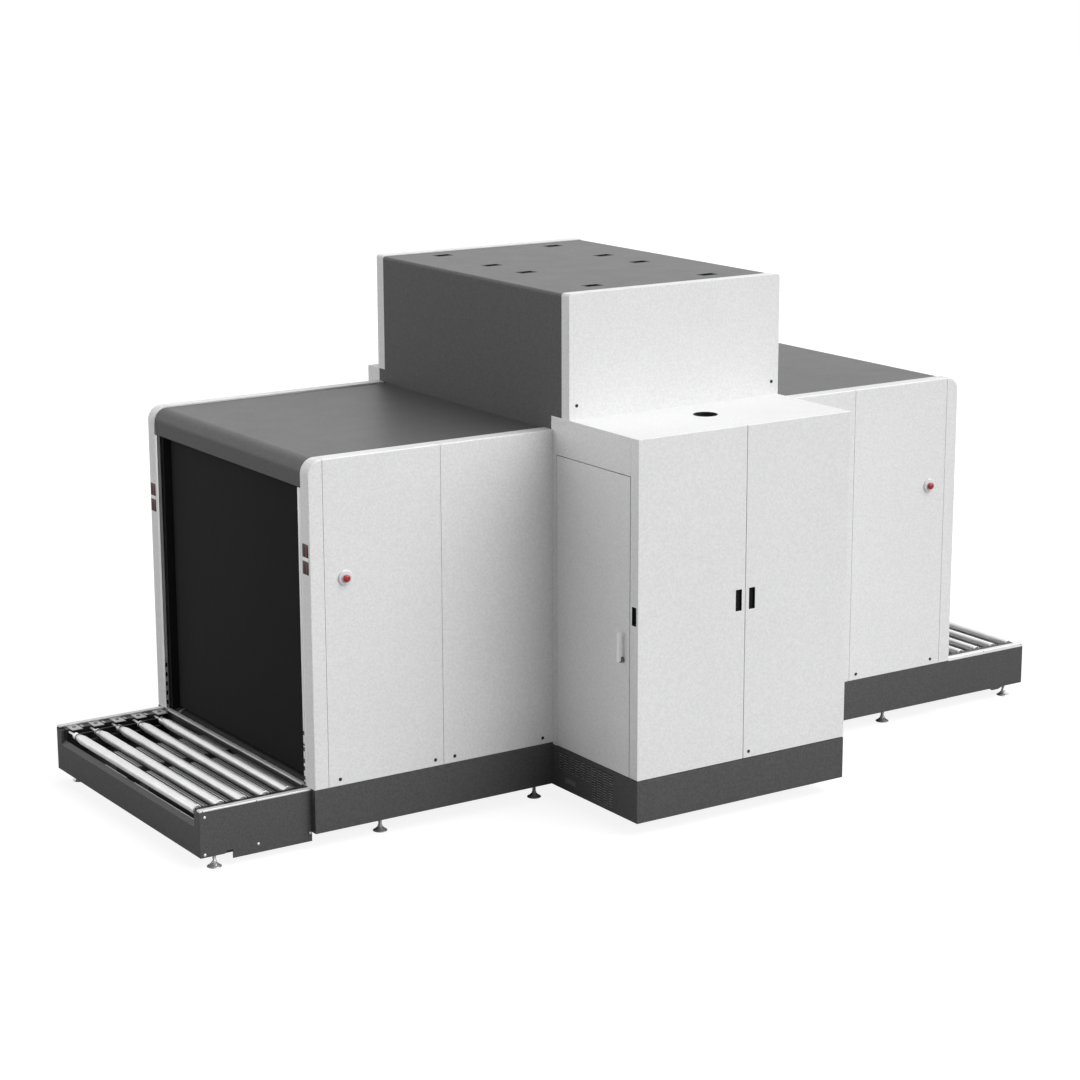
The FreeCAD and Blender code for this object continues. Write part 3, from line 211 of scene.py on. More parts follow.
def brushed_metal(name, colour, metallic, roughness, axis, speckle=0.03, depth=0.15):
    """Metal with fine lines along one axis."""
    shader = Shader(name)
    stretch = [1.0 if "xyz"[i] != axis else 0.02 for i in range(3)]
    lines = shader.noise(900, 2, 0.6, stretch)
    smear = shader.noise(7, 4, 0.6)
    tone = shaded(shader, colour, shader.spread(lines, 1 - speckle, 1 + speckle),
                  shader.spread(smear, 0.95, 1.03))
    rough = shader.spread(smear, roughness - 0.07, roughness + 0.08)
    return shader.finish(tone, rough, shader.bump(lines, depth, 0.0002), Metallic=metallic)


def rubber(name, colour, roughness, weave=0.0, speckle=0.1, gloss=0.3):
    """Rubber with dust and, on a belt, a fine woven face."""
    shader = Shader(name)
    dust = shader.noise(9, 5, 0.65)
    tone = shaded(shader, colour, shader.spread(dust, 1 - speckle, 1 + speckle),
                  shader.spread(shader.noise(260, 2, 0.6), 0.94, 1.06))
    height = shader.noise(180, 3, 0.6)
    if weave:
        place = shader.node("TexCoord").outputs["Object"]
        across = shader.node("TexWave", {"Vector": place, "Scale": weave},
                             wave_type="BANDS", bands_direction="X").outputs["Fac"]
        along = shader.node("TexWave", {"Vector": place, "Scale": weave},
                            wave_type="BANDS", bands_direction="Y").outputs["Fac"]
        height = shader.maths("MULTIPLY", across, along)
    rough = shader.spread(dust, roughness - 0.06, roughness + 0.08)
    return shader.finish(tone, rough, shader.bump(height, 0.25, 0.0006),
                         Specular_IOR_Level=gloss)


def plastic(name, colour, roughness, texture=0.2, coat=0.0, gloss=0.5):
    """Moulded plastic with a fine spark-eroded texture and slight fading."""
    shader = Shader(name)
    fade = shader.noise(14, 4, 0.6)
    tone = shaded(shader, colour, shader.spread(fade, 0.94, 1.05),
                  shader.spread(shader.noise(700, 2, 0.6), 0.97, 1.03))
    rough = shader.spread(fade, roughness - 0.05, roughness + 0.07)
    return shader.finish(tone, rough, shader.bump(shader.noise(900, 1.5, 0.5), texture, 0.0003),
                         Coat_Weight=coat, Specular_IOR_Level=gloss)


MATERIALS = {
    "white_paint": powder_paint("white_paint", grey(0.745, (1, 1, 1.004)), 0.055, 0.42, 0.30,
                                0.03),
    "dark_paint": powder_paint("dark_paint", grey(0.082, (1, 1, 1.01)), 0.14, 0.42, 0.35, 0.12,
                               0.30, 0.02),
    "grey_paint": powder_paint("grey_paint", grey(0.13, (1, 1.0, 1.01)), 0.12, 0.50, 0.30),
    "edge_metal": brushed_metal("edge_metal", grey(0.80), 0.25, 0.42, "x"),
    "roller_metal": brushed_metal("roller_metal", grey(0.90), 0.55, 0.38, "y", 0.03, 0.02),
    "foot_metal": brushed_metal("foot_metal", grey(0.82), 0.75, 0.28, "z"),
    "belt_rubber": rubber("belt_rubber", grey(0.022), 0.62, 300),
    "curtain_rubber": rubber("curtain_rubber", grey(0.017), 0.75, gloss=0.06),
    "band_rubber": rubber("band_rubber", grey(0.05), 0.38),
    "black_plastic": plastic("black_plastic", grey(0.006), 0.50, gloss=0.15),
    "pale_plastic": plastic("pale_plastic", grey(0.70), 0.38),
    "red_plastic": plastic("red_plastic", (0.36, 0.012, 0.022, 1), 0.28, 0.08, 0.4),
    "lamp_lens": plastic("lamp_lens", (0.045, 0.030, 0.030, 1), 0.30, 0.05, 0.1),
    "window_plastic": plastic("window_plastic", (0.012, 0.006, 0.008, 1), 0.30, 0.05),
}
SHADES = {
    # painted shade: a near-black paint, darker than the dark paint, deepens the shade inside the
    # tunnel
    "tunnel_shade_paint": powder_paint("tunnel_shade_paint", grey(0.012), 0.08, 0.65, 0.25, 0.0, 0.12),
    "slat_metal": brushed_metal("slat_metal", grey(0.11), 0.2, 0.50, "y", 0.12),
    # painted highlight: pale strips on the slats' edges and on the lip below the outermost roller
    "slat_edge_highlight": brushed_metal("slat_edge_highlight", grey(0.62), 0.2, 0.42, "y", 0.08),
    # painted highlight: a pale, slightly metallic finish that stands in for bright lines along
    # edges
    "edge_highlight": brushed_metal("edge_highlight", grey(0.93), 0.15, 0.38, "z", 0.02),
    "bright_strip": brushed_metal("bright_strip", grey(0.93), 0.15, 0.34, "z", 0.03),
    "screw_dark": brushed_metal("screw_dark", grey(0.018), 0.3, 0.50, "z"),
    "screw_zinc": brushed_metal("screw_zinc", grey(0.80), 0.5, 0.32, "z"),
    "bolt_grey": brushed_metal("bolt_grey", grey(0.16), 0.5, 0.40, "z", 0.08),
    "plate_zinc": brushed_metal("plate_zinc", grey(0.52), 0.45, 0.40, "x", 0.08),
    "lens_red": plastic("lens_red", (0.15, 0.022, 0.030, 1), 0.30, 0.05, 0.1),
    # painted highlight: a light grey for the lips under the vent slots
    "vent_lip_highlight": powder_paint("vent_lip_highlight", grey(0.34), 0.08, 0.45, 0.25),
    # near-black paint for the conveyors' side beams, and painted shade on the trays under the slats
    "black_paint_and_shade": powder_paint("black_paint_and_shade", grey(0.012), 0.08, 0.45, 0.25),
}


# Mesh helpers
def span(way, first, second):
    """Two distances along one way, in rising order."""
    return sorted((way * first, way * second))


def turned(axis):
    """A turn that takes +Z to one of the axes, which may be reversed."""
    sign, letter = (-1, axis[1]) if axis.startswith("-") else (1, axis)
    target = {"x": Vector((1, 0, 0)), "y": Vector((0, 1, 0)), "z": Vector((0, 0, 1))}[letter]
    return (target * sign).to_track_quat("Z", "Y").to_matrix().to_4x4()


def add_box(mesh, low, high, soft=0.0, steps=2):
    """A box between two corners with softened edges."""
    low, high = Vector(low), Vector(high)
    made = bmesh.ops.create_cube(mesh, size=1)
    size = high - low
    for vertex in made["verts"]:
        vertex.co = Vector([(low[i] + high[i]) / 2 + vertex.co[i] * size[i] for i in range(3)])
    if soft:
        edges = list({edge for vertex in made["verts"] for edge in vertex.link_edges})
        bmesh.ops.bevel(mesh, geom=edges, offset=min(soft, min(size) * 0.45), segments=steps,
                        profile=0.5, affect="EDGES", clamp_overlap=True)
    return mesh


def add_turned(mesh, place, axis, profile, segments=48):
    """A turned form: radii and distances along an axis from a point, closed at both ends."""
    matrix = Matrix.Translation(place) @ turned(axis)
    rings = []
    for radius, along in profile:
        if radius <= 1e-7:
            rings.append([mesh.verts.new(matrix @ Vector((0, 0, along)))])
            continue
        ring = []
        for index in range(segments):
            angle = 2 * math.pi * index / segments
            ring.append(mesh.verts.new(matrix @ Vector((radius * math.cos(angle),
                                                        radius * math.sin(angle), along))))
        rings.append(ring)
    for lower, upper in zip(rings, rings[1:]):
        for index in range(segments):
            following = (index + 1) % segments
            corners = []
            for ring, order in ((lower, (index, following)), (upper, (following, index))):
                for which in order:
                    vertex = ring[0] if len(ring) == 1 else ring[which]
                    if vertex not in corners:
                        corners.append(vertex)
            if len(corners) > 2:
                mesh.faces.new(corners)
    for ring, flip in ((rings[0], True), (rings[-1], False)):
        if len(ring) > 1:
            mesh.faces.new(list(reversed(ring)) if flip else ring)
    return mesh


def add_prism(mesh, outline, low, high, axis="z"):
    """A flat outline raised between two distances along an axis."""
    def at(point, height):
        a, b = point
        return {"x": (height, a, b), "y": (a, height, b), "z": (a, b, height)}[axis]
    lower = [mesh.verts.new(at(point, low)) for point in outline]
    upper = [mesh.verts.new(at(point, high)) for point in outline]
    mesh.faces.new(lower)
    mesh.faces.new(upper)
    count = len(outline)
    for index in range(count):
        following = (index + 1) % count
        mesh.faces.new((lower[index], lower[following], upper[following], upper[index]))
    return mesh


def add_sweep(mesh, path, section, across):
    """A closed section swept round a closed path that lies square to a direction."""
    across = Vector(across)
    rings = []
    count = len(path)
    for index, point in enumerate(path):
        before, after = Vector(path[index - 1]), Vector(path[(index + 1) % count])
        ahead = (after - before).normalized()
        outward = ahead.cross(across).normalized()
        rings.append([mesh.verts.new(Vector(point) + across * a + outward * b)
                      for a, b in section])
    size = len(section)
    for index in range(count):
        first, second = rings[index], rings[(index + 1) % count]
        for step in range(size):
            following = (step + 1) % size
            mesh.faces.new((first[step], first[following], second[following], second[step]))
    return mesh


def piece(name, mesh, material, body=ROOT, crease=32, replaces=()):
    """Finish a mesh as a piece that rides on a body."""
    bmesh.ops.recalc_face_normals(mesh, faces=mesh.faces)
    limit = math.radians(crease)
    for edge in mesh.edges:
        edge.smooth = len(edge.link_faces) == 2 and edge.calc_face_angle(0) < limit
    for face in mesh.faces:
        face.smooth = True
    data = bpy.data.meshes.new(name)
    mesh.to_mesh(data)
    mesh.free()
    data.materials.append(material)
    made = bpy.data.objects.new(name, data)
    bpy.context.scene.collection.objects.link(made)
    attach(made, body)
    if replaces:
        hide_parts(*replaces)
    return made


# CAD nodes: materials, and soft edges where they are sheet or plate
NODE_SHADES = {
    # painted shade: the tunnel's walls and ceilings take the near-black paint
    "tunnel_walls": "tunnel_shade_paint", "tunnel_ceilings": "tunnel_shade_paint",
    "conveyor_side_beams": "black_paint_and_shade",
    "mouth_strips": "bright_strip", "transfer_bars": "bright_strip",
    "side_door_lever": "bright_strip", "side_door_lever_base": "bolt_grey",
}
# Nodes whose bevel faces take the pale edge finish, a painted highlight along their edges
HIGHLIGHT_EDGED_NODES = ("edge_trims", "left_door", "right_door", "cabinet_top", "dome_end_panels")
SOFT_EDGES = {
    "near_side_panels": 1.5, "far_side_panels": 1.5, "edge_trims": 5, "left_door": 3,
    "right_door": 3, "side_door": 2, "cabinet_top": 2.5, "cabinet_exit_wall": 2,
    "cabinet_entrance_wall": 2, "cabinet_plinth": 1.5, "rear_cover": 4, "rear_plinth": 2,
    "dome_end_panels": 7, "dome_shell": 4, "core_roof": 2, "base_skirts": 2,
    "conveyor_side_plates": 1.5, "conveyor_end_plates": 2, "rail_caps": 3,
    "mouth_strips": 2, "transfer_bars": 1, "entrance_roof": 1.5,
    "exit_roof": 1.5, "side_door_lever": 4, "mouth_sills": 2,
}


def dress_nodes():
    """Give every CAD node its material and soft edges."""
    for name, node in NODES.items():
        shade = NODE_SHADES.get(name)
        material = SHADES[shade] if shade else MATERIALS[SLOT_OF[name]]
        if not node.material_slots:
            node.data.materials.append(material)
        for holder in node.material_slots:
            holder.material = material
        width = SOFT_EDGES.get(name)
        if width:
            weld = node.modifiers.new("weld", "WELD")
            weld.merge_threshold = 0.00002
            soft = node.modifiers.new("soft", "BEVEL")
            soft.width = width * MM
            soft.segments = 3
            soft.limit_method = "ANGLE"
            soft.angle_limit = math.radians(40)
            soft.use_clamp_overlap = True
            # painted highlight: the bevel faces take the pale edge finish
            if name in HIGHLIGHT_EDGED_NODES:
                node.data.materials.append(SHADES["edge_highlight"])
                soft.material = 1
            even = node.modifiers.new("even", "WEIGHTED_NORMAL")
            even.keep_sharp = False


# Rollers: turned tubes with end caps, a tapered far end, a grooved wheel and a hexagonal pin
WHEEL_RADIUS, PIN_RADIUS = 0.0220, 0.0078
WHEEL_GROOVES = (0.0135, 0.0355)
HEXAGON = 6


def make_rollers():
    """One detailed roller for each roller node."""
    for end, _way in ENDS:
        for index in range(1, ROLLERS + 1):
            node = f"{end}_roller_{index}"
            low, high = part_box(node)
            x, z = (low.x + high.x) / 2, (low.z + high.z) / 2
            radius = (high.z - low.z) / 2
            near, far = AXIS_Y - ROLLER_NEAR_REACH, AXIS_Y + ROLLER_FAR_REACH
            taper, tube = far - 0.060, far - near
            mesh = bmesh.new()
            groove = []
            for middle in WHEEL_GROOVES:
                groove += [(WHEEL_RADIUS, middle - 0.006), (0.0195, middle - 0.0035),
                           (0.0195, middle + 0.0035), (WHEEL_RADIUS, middle + 0.006)]
            profile = [(0.0, 0.006), (0.020, 0.006), (0.0215, 0.002), (0.0245, 0.0),
                       (radius - 0.0012, 0.0), (radius, 0.0012), (radius, taper - near - 0.003),
                       (radius - 0.0004, taper - near), (0.0262, tube - 0.024),
                       (0.0226, tube - 0.003), (WHEEL_RADIUS, tube)]
            profile += [(r, tube + along) for r, along in groove]
            profile += [(WHEEL_RADIUS, tube + 0.0592), (0.0210, tube + 0.060),
                        (0.0150, tube + 0.060), (0.0140, tube + 0.057), (0.0, tube + 0.057)]
            add_turned(mesh, (x, near, z), "y", profile, 56)
            for start, stop in ((low.y, near + 0.006), (far + 0.056, high.y)):
                add_turned(mesh, (x, start, z), "y",
                           [(0.0, 0.0), (0.0068, 0.0), (PIN_RADIUS, 0.001),
                            (PIN_RADIUS, stop - start - 0.001), (0.0068, stop - start),
                            (0.0, stop - start)], HEXAGON)
            piece(f"{node}_turned", mesh, MATERIALS["roller_metal"],
                  f"{end}_roller_body_{index}", replaces=(node,))


def arc(centre, radius, start, stop, steps):
    """Points on an arc in the XZ plane, angles in degrees."""
    points = []
    for step in range(steps + 1):
        angle = math.radians(start + (stop - start) * step / steps)
        points.append((centre[0] + radius * math.cos(angle), centre[1] + radius * math.sin(angle)))
    return points


def make_bands():
    """Drive bands: closed loops with a rounded section round two wheels each."""
    mesh = bmesh.new()
    axle, radius, steps = 0.345, 0.0246, 14
    section = [(0.0042 * math.cos(a), 0.0021 * math.sin(a))
               for a in (2 * math.pi * s / 10 for s in range(10))]
    for _end, way in ENDS:
        for index in range(ROLLERS - 1):
            left, right = span(way, ROLLER_X[index], ROLLER_X[index + 1])
            y = AXIS_Y + ROLLER_FAR_REACH + WHEEL_GROOVES[0] + (index % 2) * 0.022
            points = arc((right, axle), radius, -90, 90, steps)
            points += arc((left, axle), radius, 90, 270, steps)
            add_sweep(mesh, [(px, y, pz) for px, pz in points], section, (0, 1, 0))
    piece("drive_band_loops", mesh, MATERIALS["band_rubber"], ROOT,
          replaces=("drive_bands",))


# Levelling feet
def add_foot(mesh, x, y, top):
    """A bell-shaped foot with a flat pad, a nut and a threaded stem."""
    profile = [(0.0, 0.0), (0.0425, 0.0), (0.044, 0.0012), (0.044, 0.0035), (0.0425, 0.0050),
               (0.040, 0.0066), (0.0355, 0.0092), (0.0300, 0.0130), (0.0245, 0.0178),
               (0.0200, 0.0222), (0.0172, 0.0250), (0.0155, 0.0260), (0.0, 0.0260)]
    add_turned(mesh, (x, y, 0), "z", profile, 40)
    add_turned(mesh, (x, y, 0.0255), "z", [(0.0, 0.0), (0.0150, 0.0), (0.0160, 0.001),
                                           (0.0160, 0.009), (0.0150, 0.010), (0.0, 0.010)],
               HEXAGON)
    thread = [(0.0, 0.0)]
    start, stop = 0.035, top + 0.002
    turns = max(2, int((stop - start) / 0.0045))
    for turn in range(turns + 1):
        along = (stop - start) * turn / turns
        thread.append((0.0098, along))
        if turn < turns:
            thread.append((0.0112, along + (stop - start) / turns / 2))
    thread.append((0.0, stop - start))
    add_turned(mesh, (x, y, start), "z", thread, 20)


def make_feet():
    """All levelling feet, in the places of their CAD solids."""
    mesh = bmesh.new()
    rows = (AXIS_Y - FOOT_REACH, AXIS_Y + FOOT_REACH)
    for _end, way in ENDS:
        for y in rows:
            for reach, top in ((CONVEYOR_X - 0.115, 0.086), (HOUSING_X - 0.495, 0.103),
                               (CABINET_X + 0.075, 0.103)):
                add_foot(mesh, way * reach, y, top)
        add_foot(mesh, way * (CABINET_X - 0.300), CABINET_FRONT + 0.405, 0.096)
    piece("levelling_feet_turned", mesh, MATERIALS["foot_metal"], ROOT,
          replaces=("levelling_feet",))


# Stop buttons
def make_buttons():
    """Mushroom heads and their round bases."""
    bases = bmesh.new()
    for end, _way in ENDS:
        for side, hand in SIDES:
            low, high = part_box(f"{end}_{side}_stop_button")
            x, z = (low.x + high.x) / 2, (low.z + high.z) / 2
            face = AXIS_Y + hand * PANEL_REACH
            outward = "y" if hand > 0 else "-y"
            profile = [(0.0, 0.0), (0.046, 0.0), (0.046, 0.0055), (0.0445, 0.0078),
                       (0.040, 0.0096), (0.036, 0.0100), (0.0335, 0.0092), (0.031, 0.0100),
                       (0.0150, 0.0100), (0.0138, 0.0085), (0.0, 0.0085)]
            add_turned(bases, (x, face, z), outward, profile, 56)
            mesh = bmesh.new()
            head = [(0.0, -0.0015), (0.0118, -0.0015), (0.0118, 0.0063), (0.0200, 0.0063),
                    (0.0222, 0.0075), (0.0230, 0.0105), (0.0228, 0.0145), (0.0212, 0.0182),
                    (0.0180, 0.0205), (0.0120, 0.0219), (0.0, 0.0223)]
            add_turned(mesh, (x, face + hand * 0.010, z), outward, head, 48)
            piece(f"{end}_{side}_button_turned", mesh, MATERIALS["red_plastic"],
                  f"{end}_{side}_button",
                  replaces=(f"{end}_{side}_stop_button",))
    piece("stop_bases_turned", bases, MATERIALS["pale_plastic"], ROOT,
          replaces=("stop_button_bases",))


# Curtains
def make_curtains():
    """A whole rubber sheet on each clamp bar."""
    for end, _way in ENDS:
        low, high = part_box(f"{end}_curtain")
        x, radius = (low.x + high.x) / 2, (high.x - low.x) / 2
        length, bore, depth, half = high.y - low.y, 0.0094, 0.031, 0.003
        mesh = bmesh.new()
        add_turned(mesh, (x, low.y, high.z - radius), "y",
                   [(0.0, depth), (bore, depth), (bore, 0.0), (radius, 0.0), (radius, length),
                    (bore, length), (bore, length - depth), (0.0, length - depth)], 40)
        add_box(mesh, (x - half, low.y, low.z), (x + half, high.y, high.z - radius * 1.75),
                half / 2)
        piece(f"{end}_curtain_sheet", mesh, MATERIALS["curtain_rubber"], f"{end}_curtain_flap",
              replaces=(f"{end}_curtain",))


# Screws
FLUSH_HEAD = 0.0003
PLAIN_PLATE = (1, -1)        # the exit's near side plate has no screws and no flap


def add_screw(mesh, place, axis, radius=0.011, head=0.0035):
    """A domed screw with a hexagonal socket."""
    add_turned(mesh, place, axis, [(0.0, -0.001), (radius, -0.001), (radius, head * 0.35),
                                   (radius * 0.86, head * 0.75), (radius * 0.60, head),
                                   (radius * 0.42, head)], 20)
    matrix = Matrix.Translation(place) @ turned(axis)
    rings = []
    for share, height in ((0.42, head + 0.0001), (0.36, head * 0.3)):
        rings.append([mesh.verts.new(matrix @ Vector((
            radius * share * math.cos(math.radians(60 * k)),
            radius * share * math.sin(math.radians(60 * k)), height))) for k in range(HEXAGON)])
    outer, inner = rings
    for k in range(HEXAGON):
        n = (k + 1) % HEXAGON
        mesh.faces.new((outer[k], outer[n], inner[n], inner[k]))
    mesh.faces.new(inner)


def make_screws():
    """Dark screws on the light panels and zinc ones on the dark plates."""
    dark = bmesh.new()
    zinc = bmesh.new()
    for hand, face in ((-1, SIDE_NEAR), (1, SIDE_FAR)):
        axis = "y" if hand > 0 else "-y"
        for way in (-1, 1):
            plate = AXIS_Y + hand * PLATE_REACH
            for x in (2.298, 1.642, 1.506, 0.868):
                add_screw(dark, (way * x, face, SCREW_HEIGHT), axis)
            for x, z in ((3.166, 0.330), (3.171, 0.103), (2.825, 0.103), (2.481, 0.101)):
                if (way, hand) != PLAIN_PLATE:
                    add_screw(zinc, (way * x, plate, z), axis, 0.0085)
            for x in (2.831, 3.178):
                add_screw(dark, (way * x, plate, 0.3675), axis, 0.0035, 0.002)
    low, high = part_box("dome_end_panels")
    for face, axis in ((low.y, "-y"), (high.y, "y")):
        for x in (-0.737, 0.737):
            add_screw(dark, (x, face, 2.509), axis)
    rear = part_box("rear_cover")[1].y
    for x in (-0.74, 0.0, 0.74):
        for z in (SCREW_HEIGHT, 2.37):
            add_screw(dark, (x, rear, z), "y", head=FLUSH_HEAD)
    piece("panel_screws", dark, SHADES["screw_dark"], ROOT, 25)
    door = bmesh.new()
    add_screw(door, (0.042, CABINET_FRONT, 0.400), "-y", head=FLUSH_HEAD)
    piece("door_screw", door, SHADES["screw_dark"], "right_leaf", 25)
    piece("plate_screws", zinc, SHADES["screw_zinc"], ROOT, 25)


# Indicator lamps: a dark bezel with a red lens and a dark one
LAMP_LOW, LAMP_PITCH = 1.672, 0.102


def make_lamps():
    """Two windows on each edge strip, each with a bezel and a divided lens."""
    frames = bmesh.new()
    reds = bmesh.new()
    darks = bmesh.new()
    glint_bars = bmesh.new()
    for _end, way in ENDS:
        for _side, hand in SIDES:
            middle = AXIS_Y + hand * (PANEL_REACH - 0.045)
            for index in range(2):
                z = LAMP_LOW + index * LAMP_PITCH
                x = span(way, HOUSING_X, HOUSING_X + 0.0025)
                add_box(frames, (x[0], middle - 0.034, z - 0.003),
                        (x[1], middle + 0.034, z + 0.075), 0.0012)
                x = span(way, HOUSING_X + 0.001, HOUSING_X + 0.0038)
                split = middle - 0.003
                add_box(darks, (x[0], split + 0.001, z + 0.001),
                        (x[1], middle + 0.0300, z + 0.071), 0.0012)
                add_box(reds, (x[0], middle - 0.0300, z + 0.001), (x[1], split - 0.001, z + 0.071),
                        0.0012)
            # painted highlight: a pale bar between the two lamps stands in for a glint on the strip
            x = span(way, HOUSING_X, HOUSING_X + 0.0020)
            add_box(glint_bars, (x[0], middle - 0.030, 1.7490), (x[1], middle + 0.030, 1.7690), 0.0008)
    piece("lamp_bezels", frames, MATERIALS["window_plastic"], ROOT,
          replaces=("indicator_lamps",))
    piece("lamp_lenses_red", reds, SHADES["lens_red"], ROOT)
    piece("lamp_lenses_dark", darks, MATERIALS["lamp_lens"], ROOT)
    piece("lamp_glint_bars", glint_bars, SHADES["edge_highlight"], ROOT)


# Small fittings, from the mouths and conveyors to the upper housing and the cabinet
# Heights of the dark bites in a mouth's near edge: start and length
NOTCHES = ((0.378, 0.018), (0.408, 0.024), (0.466, 0.026), (0.512, 0.026), (0.584, 0.026),
           (0.618, 0.014), (0.683, 0.026))


def make_mouth_edges():
    """A bright profile down each mouth's sides, with dark bites low on the near one."""
    strips = bmesh.new()
    windows = bmesh.new()
    for _end, way in ENDS:
        for _side, hand in SIDES:
            x = span(way, HOUSING_X, HOUSING_X + 0.0015)
            y = sorted((AXIS_Y + hand * 0.9250, AXIS_Y + hand * 0.9455))
            add_box(strips, (x[0], y[0], SKIRT_TOP + 0.005), (x[1], y[1], CEILING), 0.0005)
            if hand > 0:
                continue
            x = span(way, HOUSING_X, HOUSING_X + 0.0025)
            y = sorted((AXIS_Y + hand * 0.9251, AXIS_Y + hand * 0.9410))
            for low, height in NOTCHES:
                add_box(windows, (x[0], y[0], low), (x[1], y[1], low + height), 0.0008)
    piece("mouth_edge_profiles", strips, SHADES["bright_strip"], ROOT)
    piece("mouth_edge_windows", windows, MATERIALS["window_plastic"], ROOT)


def make_bar_lips():
    """A bright lip down the front of each transfer bar."""
    mesh = bmesh.new()
    top, reach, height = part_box("transfer_bars")[1].z, 0.897, 0.0115
    for _end, way in ENDS:
        x = span(way, HOUSING_X - 0.0005, HOUSING_X + 0.0045)
        add_box(mesh, (x[0], AXIS_Y - reach, top - height), (x[1], AXIS_Y + reach, top), 0.001)
    piece("transfer_bar_lips", mesh, SHADES["bright_strip"], ROOT)


def make_slats():
    """Slats in two halves between the rollers, on a near-black tray that is painted shade, with
    pale edge strips that are painted highlights.
    """
    slats = bmesh.new()
    shade_trays = bmesh.new()
    edges = bmesh.new()
    low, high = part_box("conveyor_slat_beds")
    top, half, thick, tray = high.z - 0.007, 0.0150, 0.006, low.z + 0.008
    halves = ((AXIS_Y + 0.020, AXIS_Y + 0.370), (low.y, AXIS_Y - 0.090))
    for _end, way in ENDS:
        x = span(way, HOUSING_X + 0.0005, CONVEYOR_X - 0.0245)
        # painted shade: a near-black tray under the slats stands in for the shade down between the
        # rollers
        add_box(shade_trays, (x[0], low.y, low.z), (x[1], high.y, tray), 0.0005)
        places = [(outer + inner) / 2 for outer, inner in zip(ROLLER_X, ROLLER_X[1:])]
        for middle in places + [HOUSING_X + 0.028]:
            for start, stop in halves:
                add_box(slats, (way * middle - half, start, top - thick),
                        (way * middle + half, stop, top), 0.0015)
                add_box(slats, (way * middle - 0.004, start + 0.004, tray - 0.001),
                        (way * middle + 0.004, stop - 0.004, top - thick + 0.001))
                # painted highlight: a pale strip along each slat's edge
                add_box(edges, (way * middle - half, start, top - 0.0005),
                        (way * middle - half + 0.0045, stop, top + 0.0010), 0.0004)
        # painted highlight: a pale strip on the lip below the outermost roller
        x = span(way, CONVEYOR_X - 0.0250, CONVEYOR_X - 0.0205)
        for start, stop in ((AXIS_Y + 0.022, AXIS_Y + 0.325), halves[1]):
            add_box(edges, (x[0], start, 0.2870), (x[1], stop, 0.2912), 0.0006)
    piece("slats_in_halves", slats, SHADES["slat_metal"], ROOT,
          replaces=("conveyor_slat_beds",))
    piece("slat_shade_trays", shade_trays, SHADES["black_paint_and_shade"], ROOT)
    piece("slat_edges", edges, SHADES["slat_edge_highlight"], ROOT)


def make_rail_plates():
    """Bright plates with a bolt each on the far side beam, one beside each roller."""
    plates = bmesh.new()
    bolts = bmesh.new()
    for _end, way in ENDS:
        for roller in ROLLER_X:
            middle = roller - 0.040
            x = span(way, middle - 0.036, middle + 0.036)
            add_box(plates, (x[0], AXIS_Y + 0.862, BEAM_TOP - 0.0005),
                    (x[1], AXIS_Y + 0.963, BEAM_TOP + 0.0045), 0.0015)
            add_screw(bolts, (way * (middle + 0.002), AXIS_Y + 0.918, BEAM_TOP + 0.0045), "z",
                      0.013, 0.006)
            x = span(way, middle - 0.048, middle - 0.064)
            add_box(plates, (x[0], AXIS_Y + 0.905, BEAM_TOP - 0.0005),
                    (x[1], AXIS_Y + 0.950, BEAM_TOP + 0.0025), 0.0010)
    piece("rail_plates", plates, SHADES["plate_zinc"], ROOT)
    piece("rail_plate_bolts", bolts, SHADES["bolt_grey"], ROOT, 25)


def add_ring(mesh, x, y, inner, outer, low, high):
    """A rectangular ring round a point, from its half sizes."""
    for way in (-1, 1):
        across = sorted((x + way * inner[0], x + way * outer[0]))
        add_box(mesh, (across[0], y - outer[1], low), (across[1], y + outer[1], high))
        along = sorted((y + way * inner[1], y + way * outer[1]))
        add_box(mesh, (x - inner[0], along[0], low), (x + inner[0], along[1], high))


def make_slot_liners():
    """Black liners with a flat rim in the upper housing's lifting slots, painted shade that keeps
    the slots dark inside and widens their dark outline.
    """
    mesh = bmesh.new()
    low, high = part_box("dome_end_panels")
    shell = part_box("dome_shell")[1]
    hole, across = (0.0444, 0.0274), shell.x - 0.355
    for x in (-across, across):
        for y in (high.y - 0.255, high.y - 0.855, low.y + 1.005, low.y + 0.275):
            add_ring(mesh, x, y, hole, (0.0458, 0.0288), shell.z - 0.0448, shell.z + 0.0002)
            add_ring(mesh, x, y, hole, (0.0600, 0.0335), shell.z - 0.0002, shell.z + 0.0010)
            add_box(mesh, (x - 0.0450, y - 0.0280, shell.z - 0.0449),
                    (x + 0.0450, y + 0.0280, shell.z - 0.0430))
    piece("lifting_slot_shade_liners", mesh, MATERIALS["black_plastic"], ROOT)


